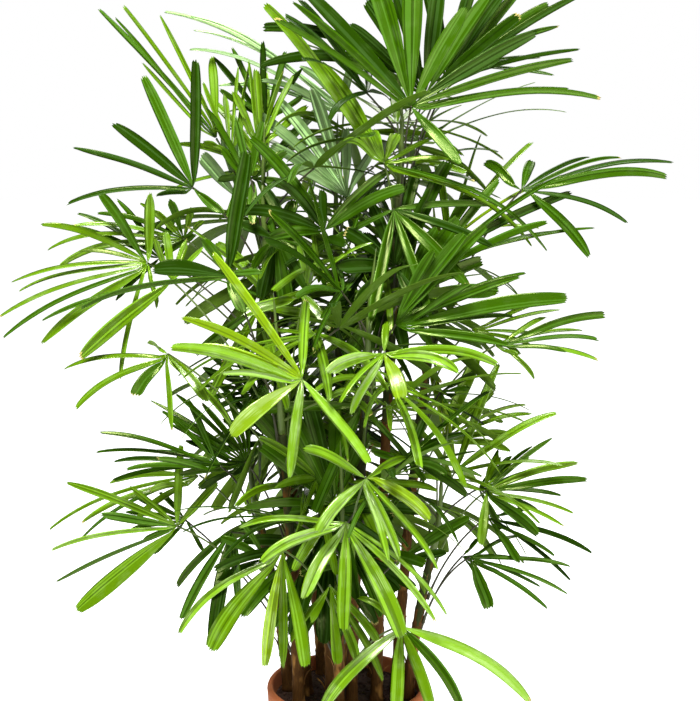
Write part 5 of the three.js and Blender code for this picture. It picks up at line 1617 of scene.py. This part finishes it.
class PALM_OT_stage(bpy.types.Operator):
    """Set the pale floor, the soft lights and the camera"""

    bl_idname = "palm.stage"
    bl_label = "Stage"

    def execute(self, context):
        scene, settings = context.scene, context.scene.palm_stage
        self.floor(scene, settings)
        self.white_air(scene, settings)
        self.soft_light(scene, "key_light", (-0.6, -1.9, 3.9), settings.key, 1.1)
        self.soft_light(scene, "fill_light", (1.8, -3.0, 1.6), settings.fill, 1.8)
        self.soft_light(scene, "back_light", (0.4, 1.9, 3.8), settings.back, 1.6)
        self.camera(scene)
        return {"FINISHED"}

    @staticmethod
    def floor(scene, settings):
        """A round floor of matt white board, which looks as bright as the air behind it."""
        material, tree = blank("matt_white_floor")
        seen = node(tree, "ShaderNodeLightPath").outputs["Is Camera Ray"]
        glow = node(tree, "ShaderNodeMapRange", {"Value": seen, "To Min": 0.25, "To Max": 1.0})
        shader = node(tree, "ShaderNodeBsdfPrincipled", {
            "Base Color": (*settings.white, 1), "Roughness": 0.9, "Emission Color": (1, 1, 1, 1),
            "Emission Strength": glow.outputs["Result"],
        })
        node(tree, "ShaderNodeOutputMaterial", {"Surface": shader.outputs["BSDF"]})
        mesh = bpy.data.meshes.new("studio_floor")
        corners = [heading_of(360 * k / FLOOR_SIDES) * settings.floor for k in range(FLOOR_SIDES)]
        mesh.from_pydata([tuple(corner) for corner in corners], [], [tuple(range(FLOOR_SIDES))])
        mesh.materials.append(material)
        floor = bpy.data.objects.new("studio_floor", mesh)
        scene.collection.objects.link(floor)

    @staticmethod
    def white_air(scene, settings):
        """White all round, which lights the plant evenly and much more weakly than it shows."""
        scene.world = bpy.data.worlds.new("studio_white")
        scene.world.use_nodes = True
        tree = scene.world.node_tree
        tree.nodes.clear()
        seen = node(tree, "ShaderNodeLightPath").outputs["Is Camera Ray"]
        strength = node(tree, "ShaderNodeMapRange", {
            "Value": seen, "To Min": settings.ambient, "To Max": 1.0,
        })
        light = node(tree, "ShaderNodeBackground", {
            "Color": (1, 1, 1, 1), "Strength": strength.outputs["Result"],
        })
        node(tree, "ShaderNodeOutputWorld", {"Surface": light.outputs["Background"]})

    @staticmethod
    def soft_light(scene, name, at, power, size):
        """A large square light that points at the middle of the plant."""
        light = bpy.data.lights.new(name, "AREA")
        light.energy, light.size = power, size
        lamp = bpy.data.objects.new(name, light)
        lamp.location = at
        lamp.rotation_euler = (LIT - Vector(at)).to_track_quat("-Z", "Y").to_euler()
        scene.collection.objects.link(lamp)

    @staticmethod
    def camera(scene):
        """The camera stands at the sheet's eye."""
        camera = bpy.data.objects.new("camera", bpy.data.cameras.new("camera"))
        camera.data.lens = LENS
        camera.location = SHEET["eye"] * MM
        camera.rotation_euler = (math.pi / 2 - SHEET["pitch"], 0, 0)
        scene.collection.objects.link(camera)
        scene.camera = camera
        scene.view_settings.view_transform = "Standard"
        scene.view_settings.look = "None"


# ---------------------------------------------------------------- the add-on

OPERATORS = (PALM_OT_pot, PALM_OT_soil, PALM_OT_canes, PALM_OT_leaves, PALM_OT_crowns, PALM_OT_stage)
SETTINGS = dict(
    palm_pot=PotSettings, palm_canes=CaneSettings, palm_leaves=LeafSettings, palm_stage=StageSettings,
)


class PALM_PT_sidebar(bpy.types.Panel):
    """The steps that dress the palm, in order"""

    bl_idname = "PALM_PT_sidebar"
    bl_label = "Potted Lady Palm"
    bl_space_type = "VIEW_3D"
    bl_region_type = "UI"
    bl_category = "Palm"

    def draw(self, context):
        for operator in OPERATORS:
            self.layout.operator(operator.bl_idname)
        for name in SETTINGS:
            settings, box = getattr(context.scene, name), self.layout.box()
            for field in settings.__annotations__:
                box.prop(settings, field)


def register():
    for made in (*SETTINGS.values(), *OPERATORS, PALM_PT_sidebar):
        bpy.utils.register_class(made)
    for name, made in SETTINGS.items():
        setattr(bpy.types.Scene, name, PointerProperty(type=made))


def unregister():
    for name in SETTINGS:
        delattr(bpy.types.Scene, name)
    for made in (PALM_PT_sidebar, *reversed(OPERATORS), *reversed(SETTINGS.values())):
        bpy.utils.unregister_class(made)


def main():
    register()
    for operator in OPERATORS:
        group, name = operator.bl_idname.split(".")
        getattr(getattr(bpy.ops, group), name)()


if __name__ == "__main__":
    main()
